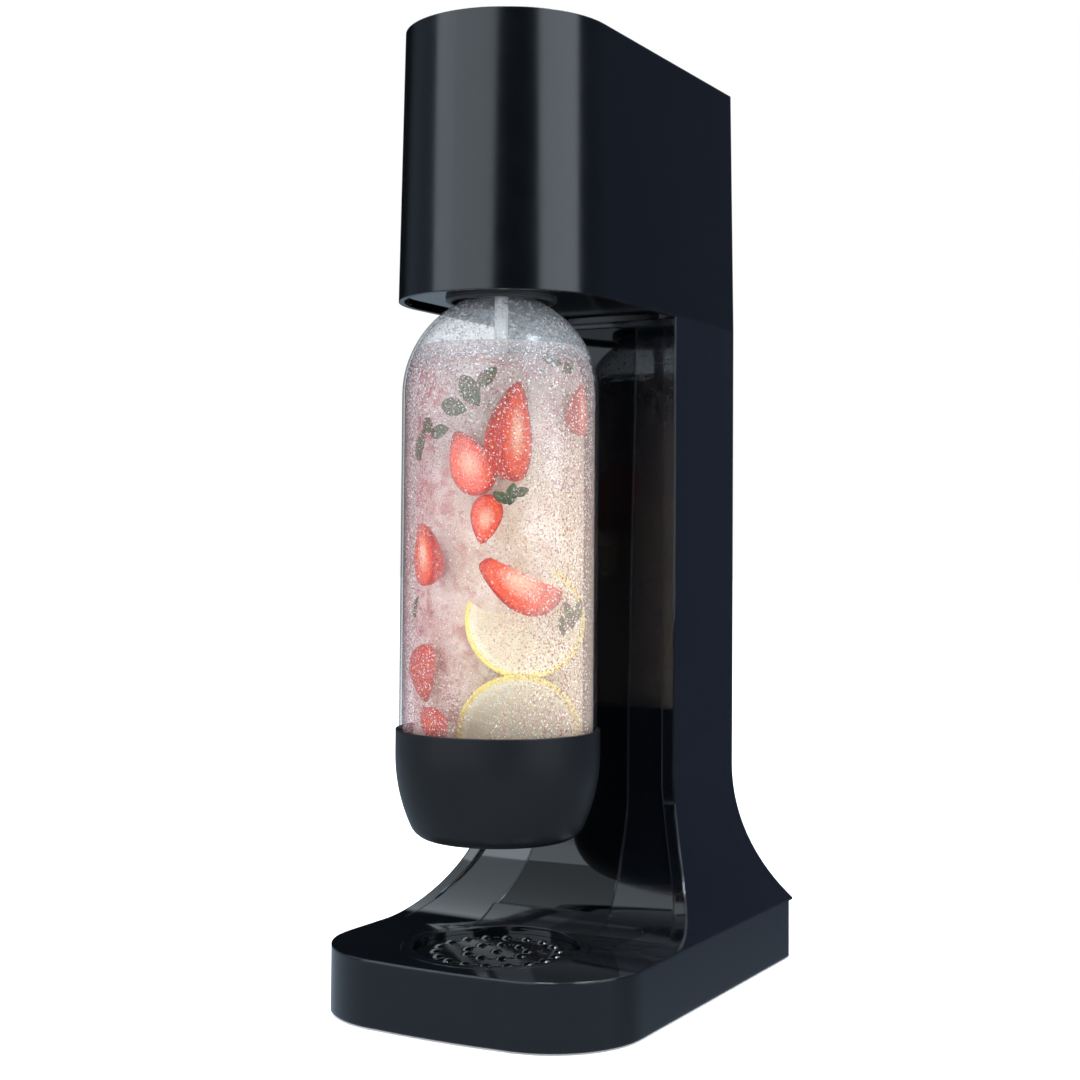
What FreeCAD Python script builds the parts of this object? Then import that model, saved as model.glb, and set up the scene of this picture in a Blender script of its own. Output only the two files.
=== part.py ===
import FreeCAD, Part
import math
import os
import Sketcher

# Soda carbonator, in millimetres. +Z is up, the front faces -Y, and the origin is the
# middle of the footprint on the surface that the feet stand on.

V = FreeCAD.Vector
doc = FreeCAD.newDocument("SodaCarbonator")
sheet = doc.addObject("Spreadsheet::Sheet", "Sizes")

# ---------------------------------------------------------------- driving dimensions

SIZES = {
    # outside
    "overall_height": 438.0,
    "seam_height": 316.2,
    "base_top": 29.6,
    "foot_height": 1.0,
    "foot_seat": 0.8,
    "base_width": 149.0,
    "base_corner": 43.7,
    "base_back_corner": 6.0,
    "base_bow": 1.4,
    "column_width": 99.0,
    "head_taper": 2.0,
    "head_forward": 6.3,
    "front_reach": 50.2,
    "throat_depth": 80.0,
    "back_flare": 19.9,
    "flare_top": 98.0,
    "scoop_radius": 56.0,
    "strip_width": 6.5,
    "wall_recess": 4.0,
    "wall": 2.5,
    "seam_gap": 0.15,
    "part_gap": 0.3,
    # front panel and back cover
    "panel_top_half": 26.5,
    "panel_waist_half": 23.0,
    "panel_waist_top": 131.0,
    "panel_waist_low": 72.0,
    "panel_foot_half": 29.0,
    "cover_half": 41.0,
    "cover_low": 40.0,
    # gas cylinder
    "cylinder_radius": 30.0,
    "cylinder_room": 0.95,
    "cylinder_floor": 21.0,
    "cylinder_neck": 13.0,
    "cylinder_wall": 4.0,
    "cylinder_drop": 14.0,
    "cradle_step": 8.0,
    "cradle_height": 12.0,
    "cylinder_foot": 5.0,
    "shoulder_slope": 1.4,
    "thread_radius": 10.5,
    "collar_radius": 12.5,
    "valve_pin_radius": 1.7,
    "valve_pin_length": 8.0,
    # chassis in the head
    "deck": 3.0,
    "chassis_low": 352.0,
    "chassis_thick": 3.0,
    "socket_depth": 14.0,
    "seal_thick": 1.0,
    "block_radius": 17.0,
    "block_height": 26.0,
    "plunger_radius": 2.0,
    "plunger_head": 5.0,
    "plunger_head_height": 4.0,
    "running": 0.05,
    "lever_low": 398.3,
    "lever_thick": 6.0,
    "lever_width": 12.0,
    "pivot_back": 5.3,
    "pivot_pin": 2.0,
    # carbonating button
    "button_radius": 26.0,
    "button_travel": 9.0,
    "button_edge": 5.0,
    "stem_radius": 6.0,
    "guide_radius": 9.0,
    "guide_drop": 22.0,
    # carbonating head and its relief valve
    "head_body_radius": 20.0,
    "head_flange": 5.0,
    "head_rise": 13.0,
    "neck_radius": 15.0,
    "neck_bore": 11.0,
    "socket_skirt": 17.0,
    "bottle_seal": 1.3,
    "collar_width": 2.5,
    "mouth_height": 337.0,
    "tube_radius": 3.0,
    "tube_bore": 1.6,
    "tube_tip": 251.0,
    "relief_radius": 8.0,
    "relief_height": 16.0,
    "relief_bore": 5.2,
    "gas_tube_radius": 2.5,
    "gas_tube_low": 7.0,
    "gas_way_low": 8.0,
    "nut_wall": 3.0,
    "nut_length": 7.9,
    # bottle
    "bottle_radius": 44.0,
    "bottle_wall": 1.2,
    "dome_swell": 3.0,
    "neck_low": 317.4,
    "bottle_foot": 28.0,
    "cup_lip": 1.5,
    "cup_rim": 125.8,
    "cup_low": 77.5,
    "cup_corner": 10.0,
    "cup_side_radius": 75.0,
    "cup_side_top": 115.0,
    # drip tray
    "basin_radius": 38.5,
    "tray_rim_radius": 41.5,
    "tray_skin": 1.3,
    "basin_depth": 15.0,
    "grate_thick": 1.6,
    "grate_drop": 2.3,
    "grate_gap": 0.4,
    "stud_radius": 2.8,
    "stud_rise": 1.3,
    "stud_ring": 13.6,
    "drain_radius": 1.6,
    "tongue_back_half": 31.0,
    "tongue_front_half": 30.0,
    "tongue_back": 52.0,
    "tongue_front": 38.0,
    # base
    "plate_thick": 2.5,
    "pad_radius": 8.0,
    "screw_radius": 1.5,
    "screw_head": 1.1,
    "screw_grip": 8.0,
    "boss_radius": 4.0,
    "post_radius": 4.0,
}

for row, (alias, value) in enumerate(SIZES.items(), start=1):
    sheet.set(f"A{row}", alias)
    sheet.set(f"B{row}", str(value))
    sheet.setAlias(f"B{row}", alias)
doc.recompute()


def cell(text):
    """Turn words of the sheet into an expression that reads its cells."""
    for alias in sorted(SIZES, key=len, reverse=True):
        text = text.replace("{" + alias + "}", "Sizes." + alias)
    return text


def number(text):
    """Return the value of an expression."""
    return float(sheet.evalExpression(cell(str(text))))


# ---------------------------------------------------------------- derived places

COLUMN_HALF = "({column_width} / 2)"
BASE_HALF = "({base_width} / 2)"
CYLINDER_SPAN = "(2 * {cylinder_radius} + 2 * {cylinder_room})"
COLUMN_DEPTH = "({wall_recess} + {wall} + " + CYLINDER_SPAN + " + {wall})"
DEPTH = "({front_reach} + {base_bow} + {throat_depth} + " + COLUMN_DEPTH + " + {back_flare})"
BOTTLE_Y = "({front_reach} + {base_bow} - " + DEPTH + " / 2)"
COLUMN_FRONT = "(" + BOTTLE_Y + " + {throat_depth})"
COLUMN_BACK = "(" + COLUMN_FRONT + " + " + COLUMN_DEPTH + ")"
WALL_FRONT = "(" + COLUMN_FRONT + " + {wall_recess})"
WALL_BACK = "(" + WALL_FRONT + " + {wall})"
CYLINDER_Y = "(" + WALL_BACK + " + " + CYLINDER_SPAN + " / 2)"
SCOOP_Y = "(" + COLUMN_FRONT + " - {scoop_radius})"
BASE_BACK = "(" + DEPTH + " / 2)"
BASE_FRONT = "(" + BOTTLE_Y + " - {front_reach})"
BASE_SKIN = "({base_top} - {wall})"
PLATE_LOW = "({foot_height} + {foot_seat})"
PLATE_TOP = "(" + PLATE_LOW + " + {plate_thick})"
SIDE_FLARE = "(" + BASE_HALF + " - " + COLUMN_HALF + ")"
FLARE_RISE = "({flare_top} - {base_top})"
CHASSIS_TOP = "({chassis_low} + {chassis_thick})"
SOCKET_TOP = "(" + CHASSIS_TOP + " + {socket_depth})"
VALVE_TOP = "(" + SOCKET_TOP + " - {seal_thick})"
BLOCK_TOP = "(" + CHASSIS_TOP + " + {block_height})"
LEVER_TOP = "({lever_low} + {lever_thick})"
PIVOT_Y = "(" + CYLINDER_Y + " + {block_radius} + {pivot_back})"
PIVOT_Z = "({lever_low} + {lever_thick} / 2)"
HEAD_CENTRE_Y = "(" + BOTTLE_Y + " + {head_forward})"
TOP_LOW = "({overall_height} - {wall})"
GUIDE_LOW = "(" + TOP_LOW + " - {guide_drop})"
HEAD_BODY_TOP = "(" + CHASSIS_TOP + " + {head_rise})"
SKIRT_LOW = "({mouth_height} - {socket_skirt})"
RELIEF_TOP = "(" + HEAD_BODY_TOP + " + {relief_height})"
TONGUE_BACK = f"({BOTTLE_Y} + {{tongue_back}})"
WALL_SCOOP = "({scoop_radius} + {wall_recess})"
PANEL_LOW = (f"({{base_top}} + {WALL_SCOOP} + {{part_gap}}"
             f" - sqrt({WALL_SCOOP}^2 - ({TONGUE_BACK} - {SCOOP_Y})^2))")
GRATE_RADIUS = "({basin_radius} - 1.5)"
GRATE_LOW = "({base_top} - {grate_drop} - {grate_thick})"
CRADLE_FLOOR = "({cylinder_floor} - {cylinder_drop} - 0.5)"
GAS_HIGH = f"({BLOCK_TOP} - {{gas_way_low}})"
GAS_LOW = f"({HEAD_BODY_TOP} - {{gas_tube_low}})"
SCREW_SIDE = f"({BASE_HALF} - 14)"
BASE_SCREWS = [(f"{side} * {SCREW_SIDE}", y) for side in (-1, 1)
               for y in (f"({BASE_FRONT} + 46)", f"({BOTTLE_Y} + 70)", f"({BASE_BACK} - 14)")]
PADS = [(f"{side} * ({BASE_HALF} - 28)", y) for side in (-1, 1)
        for y in (f"({BASE_FRONT} + 26)", f"({BASE_BACK} - 28)")]
POST_SIDE = f"({COLUMN_HALF} - {{wall}} - {{post_radius}} - 3.5)"
POSTS = [(f"{side} * {POST_SIDE}", y) for side in (-1, 1)
         for y in (f"({WALL_BACK} + 5)", f"({COLUMN_BACK} - {{wall}} - 6)")]


def flare_radius(rise, run):
    """Radius of an arc that leaves a vertical wall and runs outwards."""
    return f"(({run})^2 + ({rise})^2) / (2 * ({run}))"


# ---------------------------------------------------------------- building helpers

nodes = {}


def keep(node, piece, x="0", y="0", z="0"):
    """Name a finished piece and tie its place to the sheet."""
    piece.Label = node
    for axis, place in zip("xyz", (x, y, z)):
        if place != "0":
            piece.setExpression("Placement.Base." + axis, cell(place))
    nodes[node] = piece
    return piece


def base_plane(body, plane):
    """Find one of a body's own origin planes."""
    return next(f for f in body.Origin.OriginFeatures if f.Role == plane + "_Plane")


def arc_between(start, end, radius, side):
    """Arc from start to end; side +1 puts the centre on the left of the way."""
    chord = end - start
    reach = chord.Length / 2
    lift = math.sqrt(max(radius * radius - reach * reach, 0.0))
    left = V(-chord.y, chord.x, 0)
    left.normalize()
    centre = (start + end) * 0.5 + left * (lift * side)
    first, last = (start, end) if side > 0 else (end, start)
    low = math.atan2(first.y - centre.y, first.x - centre.x)
    high = math.atan2(last.y - centre.y, last.x - centre.x)
    if high < low:
        high += 2 * math.pi
    circle = Part.Circle(centre, V(0, 0, 1), radius)
    return Part.ArcOfCircle(circle, low, high)


def pin(sketch, geometry, vertex, x, y):
    """Hold one point of a sketch at a place given by two expressions."""
    for kind, text in (("DistanceX", x), ("DistanceY", y)):
        index = sketch.addConstraint(
            Sketcher.Constraint(kind, -1, 1, geometry, vertex, number(text)))
        sketch.setExpression(f"Constraints[{index}]", cell(text))


def draw_outline(sketch, corners):
    """Draw a closed outline of corners (x, y) or (x, y, radius, side).

    A corner with a radius starts an arc that ends at the next corner.
    """
    points = [V(number(c[0]), number(c[1]), 0) for c in corners]
    ends = []
    for i, corner in enumerate(corners):
        start, end = points[i], points[(i + 1) % len(points)]
        if len(corner) == 2:
            index = sketch.addGeometry(Part.LineSegment(start, end), False)
            ends.append((index, 1, 2))
        else:
            radius, side = number(corner[2]), corner[3]
            index = sketch.addGeometry(arc_between(start, end, radius, side), False)
            ends.append((index, 1, 2) if side > 0 else (index, 2, 1))
            rule = sketch.addConstraint(Sketcher.Constraint("Radius", index, radius))
            sketch.setExpression(f"Constraints[{rule}]", cell(corner[2]))
    for i, corner in enumerate(corners):
        index, first, last = ends[i]
        after, after_first, _ = ends[(i + 1) % len(ends)]
        sketch.addConstraint(Sketcher.Constraint("Coincident", index, last, after, after_first))
        pin(sketch, index, first, corner[0], corner[1])


def draw_circle(sketch, x, y, radius):
    """Draw a circle at a place, both tied to the sheet."""
    circle = Part.Circle(V(number(x), number(y), 0), V(0, 0, 1), number(radius))
    index = sketch.addGeometry(circle, False)
    rule = sketch.addConstraint(Sketcher.Constraint("Radius", index, number(radius)))
    sketch.setExpression(f"Constraints[{rule}]", cell(radius))
    pin(sketch, index, 3, x, y)


def new_sketch(body, name, plane):
    """Add a sketch on one of the body's origin planes."""
    sketch = body.newObject("Sketcher::SketchObject", name)
    sketch.AttachmentSupport = [(base_plane(body, plane), "")]
    sketch.MapMode = "FlatFace"
    return sketch


def turned(name, corners):
    """Body turned about its own Z axis from an outline of (radius, height) corners."""
    body = doc.addObject("PartDesign::Body", name)
    sketch = new_sketch(body, name + "_outline", "XZ")
    draw_outline(sketch, corners)
    spin = body.newObject("PartDesign::Revolution", name + "_turn")
    spin.Profile = sketch
    spin.ReferenceAxis = (sketch, ["V_Axis"])
    spin.Angle = 360
    return body


def padded(name, plane, corners, length, middle=False, circles=(), offset="0"):
    """Body padded from an outline and round holes; middle pads both ways."""
    body = doc.addObject("PartDesign::Body", name)
    sketch = new_sketch(body, name + "_outline", plane)
    if offset != "0":
        sketch.setExpression("AttachmentOffset.Base.z", cell(offset))
    if corners:
        draw_outline(sketch, corners)
    for circle in circles:
        draw_circle(sketch, *circle)
    pad = body.newObject("PartDesign::Pad", name + "_pad")
    pad.Profile = sketch
    pad.setExpression("Length", cell(length))
    pad.Midplane = middle
    return body


def box(name, width, depth, height, x="0", y="0", z="0"):
    """Box centred on x and y that stands on z."""
    piece = doc.addObject("Part::Box", name)
    piece.setExpression("Length", cell(width))
    piece.setExpression("Width", cell(depth))
    piece.setExpression("Height", cell(height))
    piece.setExpression("Placement.Base.x", cell(f"({x}) - ({width}) / 2"))
    piece.setExpression("Placement.Base.y", cell(f"({y}) - ({depth}) / 2"))
    piece.setExpression("Placement.Base.z", cell(z))
    return piece


def rod(name, radius, height, x="0", y="0", z="0", along="z"):
    """Cylinder that starts at a point and runs along one axis."""
    piece = doc.addObject("Part::Cylinder", name)
    turn = {"z": (V(0, 0, 1), 0), "x": (V(0, 1, 0), 90), "y": (V(1, 0, 0), -90)}[along]
    piece.Placement = FreeCAD.Placement(V(0, 0, 0), FreeCAD.Rotation(*turn))
    piece.setExpression("Radius", cell(radius))
    piece.setExpression("Height", cell(height))
    for axis, place in zip("xyz", (x, y, z)):
        piece.setExpression("Placement.Base." + axis, cell(place))
    return piece


def joined(name, pieces):
    """Fuse pieces that touch."""
    fuse = doc.addObject("Part::MultiFuse", name)
    fuse.Shapes = pieces
    fuse.Refine = True
    return fuse


def group(name, pieces):
    """Keep separate solids together as one piece."""
    compound = doc.addObject("Part::Compound", name)
    compound.Links = pieces
    return compound


def shared(name, first, second):
    """Keep what two solids share."""
    common = doc.addObject("Part::Common", name)
    common.Base = first
    common.Tool = second
    return common


def cut(name, piece, tools):
    """Cut tools from a piece; several tools are joined first."""
    tool = tools[0] if len(tools) == 1 else joined(name + "_tools", tools)
    result = doc.addObject("Part::Cut", name)
    result.Base = piece
    result.Tool = tool
    result.Refine = True
    return result


# ---------------------------------------------------------------- housing outlines

def front_view(name, inset, low, high, length, middle_y):
    """Column and flare seen from the front, padded along Y.

    inset is how far the outline lies inside the outer side walls.
    """
    half, foot = f"({COLUMN_HALF} - ({inset}))", f"({BASE_HALF} - ({inset}))"
    radius = flare_radius(FLARE_RISE, SIDE_FLARE)
    corners = [
        (foot, "{base_top}", radius, -1),
        (half, "{flare_top}"),
        (half, high),
        (f"-{half}", high),
        (f"-{half}", "{flare_top}", radius, -1),
        (f"-{foot}", "{base_top}"),
        (f"-{foot}", low),
        (foot, low),
    ]
    body = padded(name, "XZ", corners, length, middle=True)
    body.setExpression("Placement.Base.y", cell(middle_y))
    return body


def side_view(name, recess, drop, back_inset, low, high, width):
    """Column, scoop and back flare seen from the side, padded along X.

    recess is how far the front face lies behind the edge strips, and drop is how far
    the scoop's foot lies under the base's top.
    """
    radius = f"({{scoop_radius}} + {recess})"
    scoop_low = f"({{base_top}} - {drop})"
    scoop_top = f"({scoop_low} + {radius})"
    front = f"({SCOOP_Y} + {radius})"
    back, foot = f"({COLUMN_BACK} - ({back_inset}))", f"({BASE_BACK} - ({back_inset}))"
    flare = flare_radius(FLARE_RISE, "{back_flare}")
    corners = [
        (SCOOP_Y, scoop_low, radius, 1),
        (front, scoop_top),
        (front, high),
        (back, high),
        (back, "{flare_top}", flare, 1),
        (foot, "{base_top}"),
        (foot, low),
        (SCOOP_Y, low),
    ]
    return padded(name, "YZ", corners, width, middle=True)


def footprint(name, inset, low, height):
    """Base outline seen from above, padded upwards from a height."""
    half, corner = f"({BASE_HALF} - {inset})", f"({{base_corner}} - {inset})"
    back, back_corner = f"({BASE_BACK} - {inset})", f"({{base_back_corner}} - {inset})"
    front = f"({BASE_FRONT} + {inset})"
    straight = f"({half} - {corner})"
    bow = flare_radius(straight, "{base_bow}")
    corners = [
        (half, f"{front} + {corner}"),
        (half, f"{back} - {back_corner}", back_corner, 1),
        (f"{half} - {back_corner}", back),
        (f"-({half} - {back_corner})", back, back_corner, 1),
        (f"-{half}", f"{back} - {back_corner}"),
        (f"-{half}", f"{front} + {corner}", corner, 1),
        (f"-{straight}", front, bow, 1),
        (straight, front, corner, 1),
    ]
    return padded(name, "XY", corners, height, offset=low)


# ---------------------------------------------------------------- housing and covers

def inner_volume(name, low, high):
    """Room inside the column, from the wall's back to the back skin."""
    front = front_view(name + "_front", "{wall}", low + " - 1", high, "2 * " + DEPTH, "0")
    side = side_view(name + "_side", "({wall_recess} + {wall})", "{wall}", "{wall}",
                     low + " - 1", high, "2 * {base_width}")
    return shared(name, front, side)


def wall_band(name, skin, width_body):
    """Part of the column wall, skin thick, that a front outline picks out."""
    ahead = side_view(name + "_ahead", "{wall_recess}", "0", "0", f"({{base_top}} - {skin})",
                      "{seam_height} + 1", "2 * {base_width}")
    behind = side_view(name + "_behind", f"({{wall_recess}} + {skin})", skin, "-1",
                       f"({{base_top}} - {skin} - 1)", "{seam_height} + 2",
                       "3 * {base_width}")
    return shared(name, cut(name + "_skin", ahead, [behind]), width_body)


def panel_outline(name, gap):
    """Waisted centre panel seen from the front, wider by a gap."""
    top, waist = f"({{panel_top_half}} + {gap})", f"({{panel_waist_half}} + {gap})"
    foot = f"({{panel_foot_half}} + {gap})"
    low = f"({PANEL_LOW} - {gap})"
    high = f"({{seam_height}} - {{deck}} + {gap})"
    spread = "({panel_foot_half} - {panel_waist_half})"
    radius = flare_radius(f"({{panel_waist_low}} - {low})", spread)
    corners = [
        (foot, low, radius, -1),
        (waist, "{panel_waist_low}"),
        (waist, "{panel_waist_top}"),
        (top, high),
        (f"-{top}", high),
        (f"-{waist}", "{panel_waist_top}"),
        (f"-{waist}", "{panel_waist_low}", radius, -1),
        (f"-{foot}", low),
    ]
    body = padded(name, "XZ", corners, "{scoop_radius} + {wall}", middle=True)
    body.setExpression("Placement.Base.y", cell(f"{WALL_BACK} - {{scoop_radius}} / 2"))
    return body


def tongue_outline(name, gap):
    """Tongue of the drip tray seen from above, wider by a gap."""
    corners = [
        (f"({{tongue_front_half}} + {gap})", BOTTLE_Y),
        (f"({{tongue_front_half}} + {gap})", f"{BOTTLE_Y} + {{tongue_front}}"),
        (f"({{tongue_back_half}} + {gap})", f"{TONGUE_BACK} + {gap}"),
        (f"-({{tongue_back_half}} + {gap})", f"{TONGUE_BACK} + {gap}"),
        (f"-({{tongue_front_half}} + {gap})", f"{BOTTLE_Y} + {{tongue_front}}"),
        (f"-({{tongue_front_half}} + {gap})", BOTTLE_Y),
    ]
    return padded(name, "XY", corners, "3 * {base_top}")


def make_housing():
    """Column, edge strips, flared foot and base in one hollow moulding."""
    high = "{seam_height}"
    column = shared(
        "column",
        front_view("column_front", "0", "{base_top} - 1", high, "2 * " + DEPTH, "0"),
        side_view("column_side", "0", "0", "0", "{base_top} - 1", high, "2 * {base_width}"))
    foot = footprint("foot_block", "0", "{foot_height}", "{base_top} - {foot_height}")
    outside = joined("outside", [column, foot])

    ahead = padded("throat_side", "YZ", [
        (SCOOP_Y, "{base_top}", "({scoop_radius} + {wall_recess})", 1),
        (WALL_FRONT, "{base_top} + {scoop_radius} + {wall_recess}"),
        (WALL_FRONT, f"{high} + 1"),
        (BASE_FRONT, f"{high} + 1"),
        (BASE_FRONT, "{base_top}"),
    ], "2 * {base_width}", middle=True)
    throat = shared("throat", ahead, front_view(
        "throat_front", "{strip_width}", "{base_top} - 1", f"{high} + 2", "2 * " + DEPTH, "0"))

    hollow = joined("hollow", [
        inner_volume("column_room", BASE_SKIN, f"{high} - {{deck}}"),
        footprint("base_room", "{wall}", "0", BASE_SKIN),
    ])
    cylinder_hole = rod("deck_hole", "{cylinder_radius} + {cylinder_room}", "2 * {deck}",
                        y=CYLINDER_Y, z=f"{high} - 1.5 * {{deck}}")
    panel_hole = panel_outline("panel_hole", "{seam_gap}")
    door_hole = box("door_hole", "2 * {cover_half}", "{back_flare} + 2 * {wall} + 2",
                    f"{high} - 2 * {{deck}} - {{cover_low}}",
                    y=f"{BASE_BACK} - {{back_flare}} / 2", z="{cover_low}")
    rim = "({tray_rim_radius} + {part_gap})"
    rim_seat = rod("rim_seat", rim, "{base_top}", y=BOTTLE_Y, z="{base_top} - {tray_skin}")
    basin_hole = rod("basin_hole", "{basin_radius} + {part_gap}", "{base_top}", y=BOTTLE_Y, z="5")
    tongue_seat = wall_band("tongue_seat", "{tray_skin}", tongue_outline("seat_plan", "{part_gap}"))

    shell = cut("shell", outside, [throat])
    shell = cut("shell_hollow", shell, [hollow])
    shell = cut("shell_open", shell, [cylinder_hole, panel_hole, door_hole])
    shell = cut("shell_tray", shell, [rim_seat, basin_hole, tongue_seat])
    bosses = [rod(f"boss_{i}", "{boss_radius}", "{flare_top}", x, y, PLATE_TOP)
              for i, (x, y) in enumerate(BASE_SCREWS)]
    inside = shared("bosses_inside", joined("bosses", bosses), outside)
    pilots = [rod(f"pilot_{i}", "{screw_radius}", "10", x, y, PLATE_TOP)
              for i, (x, y) in enumerate(BASE_SCREWS)]
    post_pilots = [rod(f"deck_pilot_{i}", "{screw_radius}", "2 * {deck}", x, y,
                       "{seam_height} - 1.5 * {deck}") for i, (x, y) in enumerate(POSTS)]
    housing = cut("housing", joined("shell_bosses", [shell, inside]), pilots + post_pilots)
    keep("housing", housing)


def make_front_panel():
    """Gloss centre strip that fills the waisted opening in the column wall."""
    band = wall_band("front_panel", "{wall}", panel_outline("panel_plan", "0"))
    keep("front_panel", band)


def make_rear_cover():
    """Back door of the cylinder chamber, with two ribs that locate it."""
    gap = "{part_gap}"
    outline = box("cover_plan", f"2 * ({{cover_half}} - {gap})", "{back_flare} + 2 * {wall} + 4",
                  f"{{seam_height}} - 2 * {{deck}} - {{cover_low}} - 2 * {gap}",
                  y=f"{BASE_BACK} - {{back_flare}} / 2 + 1", z=f"{{cover_low}} + {gap}")
    low, high = BASE_SKIN, "{seam_height}"
    outer = side_view("cover_outer", "0", "0", "0", low, high, "{base_width}")
    inner = side_view("cover_inner", "0", "0", "{wall}", low + " - 1", high + " + 1",
                      "2 * {base_width}")
    skin = shared("cover_skin", cut("cover_band", outer, [inner]), outline)
    ribs = [box(f"cover_rib_{i}", "2", "5", "{seam_height} - {flare_top} - 20",
                x=f"{side} * ({{cover_half}} - 2)", y=f"{COLUMN_BACK} - {{wall}} - 1.5",
                z="{flare_top} + 5") for i, side in enumerate((-1, 1))]
    keep("rear_cover", joined("rear_cover", [skin] + ribs))


def head_outline(half, centre, back):
    """D outline seen from above: a half round front and flat sides."""
    return [
        (half, centre),
        (half, back),
        (f"-{half}", back),
        (f"-{half}", centre, half, 1),
        ("0", f"{centre} - {half}", half, 1),
    ]


def head_solid(name, inset, low, high):
    """D-shaped solid that narrows towards its top."""
    body = doc.addObject("PartDesign::Body", name)
    sections = []
    for label, height in (("low", low), ("high", high)):
        sketch = new_sketch(body, f"{name}_{label}", "XY")
        sketch.setExpression("AttachmentOffset.Base.z", cell(height))
        rise = f"(({height} - {{seam_height}}) / ({{overall_height}} - {{seam_height}}))"
        half = f"({COLUMN_HALF} - {inset} - {{head_taper}} * {rise})"
        draw_outline(sketch, head_outline(half, HEAD_CENTRE_Y, f"({COLUMN_BACK} - {inset})"))
        sections.append(sketch)
    loft = body.newObject("PartDesign::AdditiveLoft", name + "_loft")
    loft.Profile = sections[0]
    loft.Sections = [sections[1]]
    loft.Ruled = True
    return body


def make_head_shell():
    """D-shaped head casing, open at its foot and under its lid."""
    outer = head_solid("head_outer", "0", "{seam_height}", "{overall_height}")
    inner = head_solid("head_inner", "{wall}", "{seam_height} - 1", "{overall_height} + 1")
    keep("head_shell", cut("head_shell", outer, [inner]))


def make_top_plate():
    """Lid of the head, with the button's hole and its guide tube."""
    inset = "({wall} + {seam_gap})"
    lid = head_solid("lid", inset, TOP_LOW, "{overall_height}")
    guide = rod("guide", "{guide_radius}", "{guide_drop} - {button_travel} - {button_edge}",
                y=BOTTLE_Y, z=GUIDE_LOW)
    cup_out = rod("button_cup_out", "{button_radius} + {part_gap} + 1.5",
                  "{button_travel} + {button_edge} + 1.5", y=BOTTLE_Y,
                  z=f"{TOP_LOW} - {{button_travel}} - {{button_edge}} - 1.5")
    cup_in = rod("button_cup_in", "{button_radius} + {part_gap}", "50", y=BOTTLE_Y,
                 z=f"{TOP_LOW} - {{button_travel}} - {{button_edge}}")
    stem_hole = rod("stem_hole", "{stem_radius} + {running}", "60", y=BOTTLE_Y,
                    z=GUIDE_LOW + " - 5")
    keep("top_plate", cut("top_plate", joined("lid_guide", [lid, guide, cup_out]),
                          [cup_in, stem_hole]))


def make_button():
    """Round carbonating button with its stem and its return spring."""
    top = "{overall_height}"
    edge = f"({top} - {{button_edge}})"
    button = turned("press_button", [
        ("0", LEVER_TOP + " + {part_gap}"),
        ("2", LEVER_TOP + " + {part_gap}"),
        ("{stem_radius}", LEVER_TOP + " + {part_gap} + 1.5"),
        ("{stem_radius}", edge),
        ("{button_radius} - 1.5", edge),
        ("{button_radius} - 1.5", edge + " - 1"),
        ("{button_radius}", edge + " - 1"),
        ("{button_radius}", top + " - 1"),
        ("{button_radius} - 1", top),
        ("{button_radius} - 6", top),
        ("0", top + " - 1.5"),
    ])
    keep("press_button", button, y=BOTTLE_Y)
    low = number(f"{TOP_LOW} - {{button_travel}} - {{button_edge}}")
    high = number(edge)
    coil_spring("button_spring", number("{stem_radius} + 3.2"), 0.7, low, high, 5,
                0.0, number(BOTTLE_Y))


def coil_spring(node, mean, wire, low, high, turns, x, y):
    """Round-wire compression spring between two heights."""
    free = high - low - 2 * wire - 0.1
    helix = Part.makeLongHelix(free / turns, free, mean)
    start = helix.Vertexes[0].Point
    along = helix.Edges[0].tangentAt(helix.Edges[0].FirstParameter)
    ring = Part.Wire(Part.makeCircle(wire, start, along))
    coil = Part.Wire(helix.Edges).makePipeShell([ring], True, True)
    piece = doc.addObject("Part::Feature", node)
    piece.Shape = coil
    piece.Placement = FreeCAD.Placement(V(x, y, low + wire + 0.05), FreeCAD.Rotation())
    keep(node, piece)


def make_underside():
    """Gloss plate inside the head's foot, and the ring round the bottle's neck."""
    low = "({seam_height} + 2)"
    front = f"({COLUMN_FRONT} - 2 * {{part_gap}})"
    half = f"({COLUMN_HALF} - {{wall}} - 2 * {{part_gap}})"
    plate = padded("plate_blank", "XY", head_outline(half, HEAD_CENTRE_Y, front), "{wall}",
                   offset=low)
    hole = rod("plate_hole", "{head_body_radius} + 2 * {collar_width} + {seam_gap}", "20",
               y=BOTTLE_Y, z=low + " - 5")
    keep("underside_plate", cut("underside_plate", plate, [hole]))
    ring_in = "({head_body_radius} + {collar_width})"
    ring_out = "({head_body_radius} + 2 * {collar_width})"
    collar = turned("neck_collar", [
        (ring_in, low + " - 2.5"),
        (ring_out + " - 0.8", low + " - 2.5"),
        (ring_out, low + " - 1.7"),
        (ring_out, low + " + {wall}"),
        (ring_in, low + " + {wall}"),
    ])
    keep("neck_collar", collar, y=BOTTLE_Y)


def make_base_plate():
    """Plate that closes the base, with screw holes and seats for the feet."""
    plate = footprint("plate_body", "({wall} + {part_gap})", PLATE_LOW, "{plate_thick}")
    holes = [rod(f"plate_hole_{i}", "{screw_radius} + 0.2", "20", x, y, "-5")
             for i, (x, y) in enumerate(BASE_SCREWS)]
    heads = [rod(f"plate_sink_{i}", "2 * {screw_radius} + {part_gap}", "5", x, y,
                 PLATE_LOW + " - 5 + {screw_head} + 2 * {running}") for i, (x, y) in enumerate(BASE_SCREWS)]
    seats = [rod(f"pad_seat_{i}", "{pad_radius} + 0.1", "5", x, y, PLATE_LOW + " - 5 + 1")
             for i, (x, y) in enumerate(PADS)]
    keep("base_plate", cut("base_plate", plate, holes + heads + seats))
    pads = [rod(f"pad_{i}", "{pad_radius}", PLATE_LOW + " + 1", x, y) for i, (x, y) in enumerate(PADS)]
    keep("foot_pads", group("foot_pads", pads))


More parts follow.
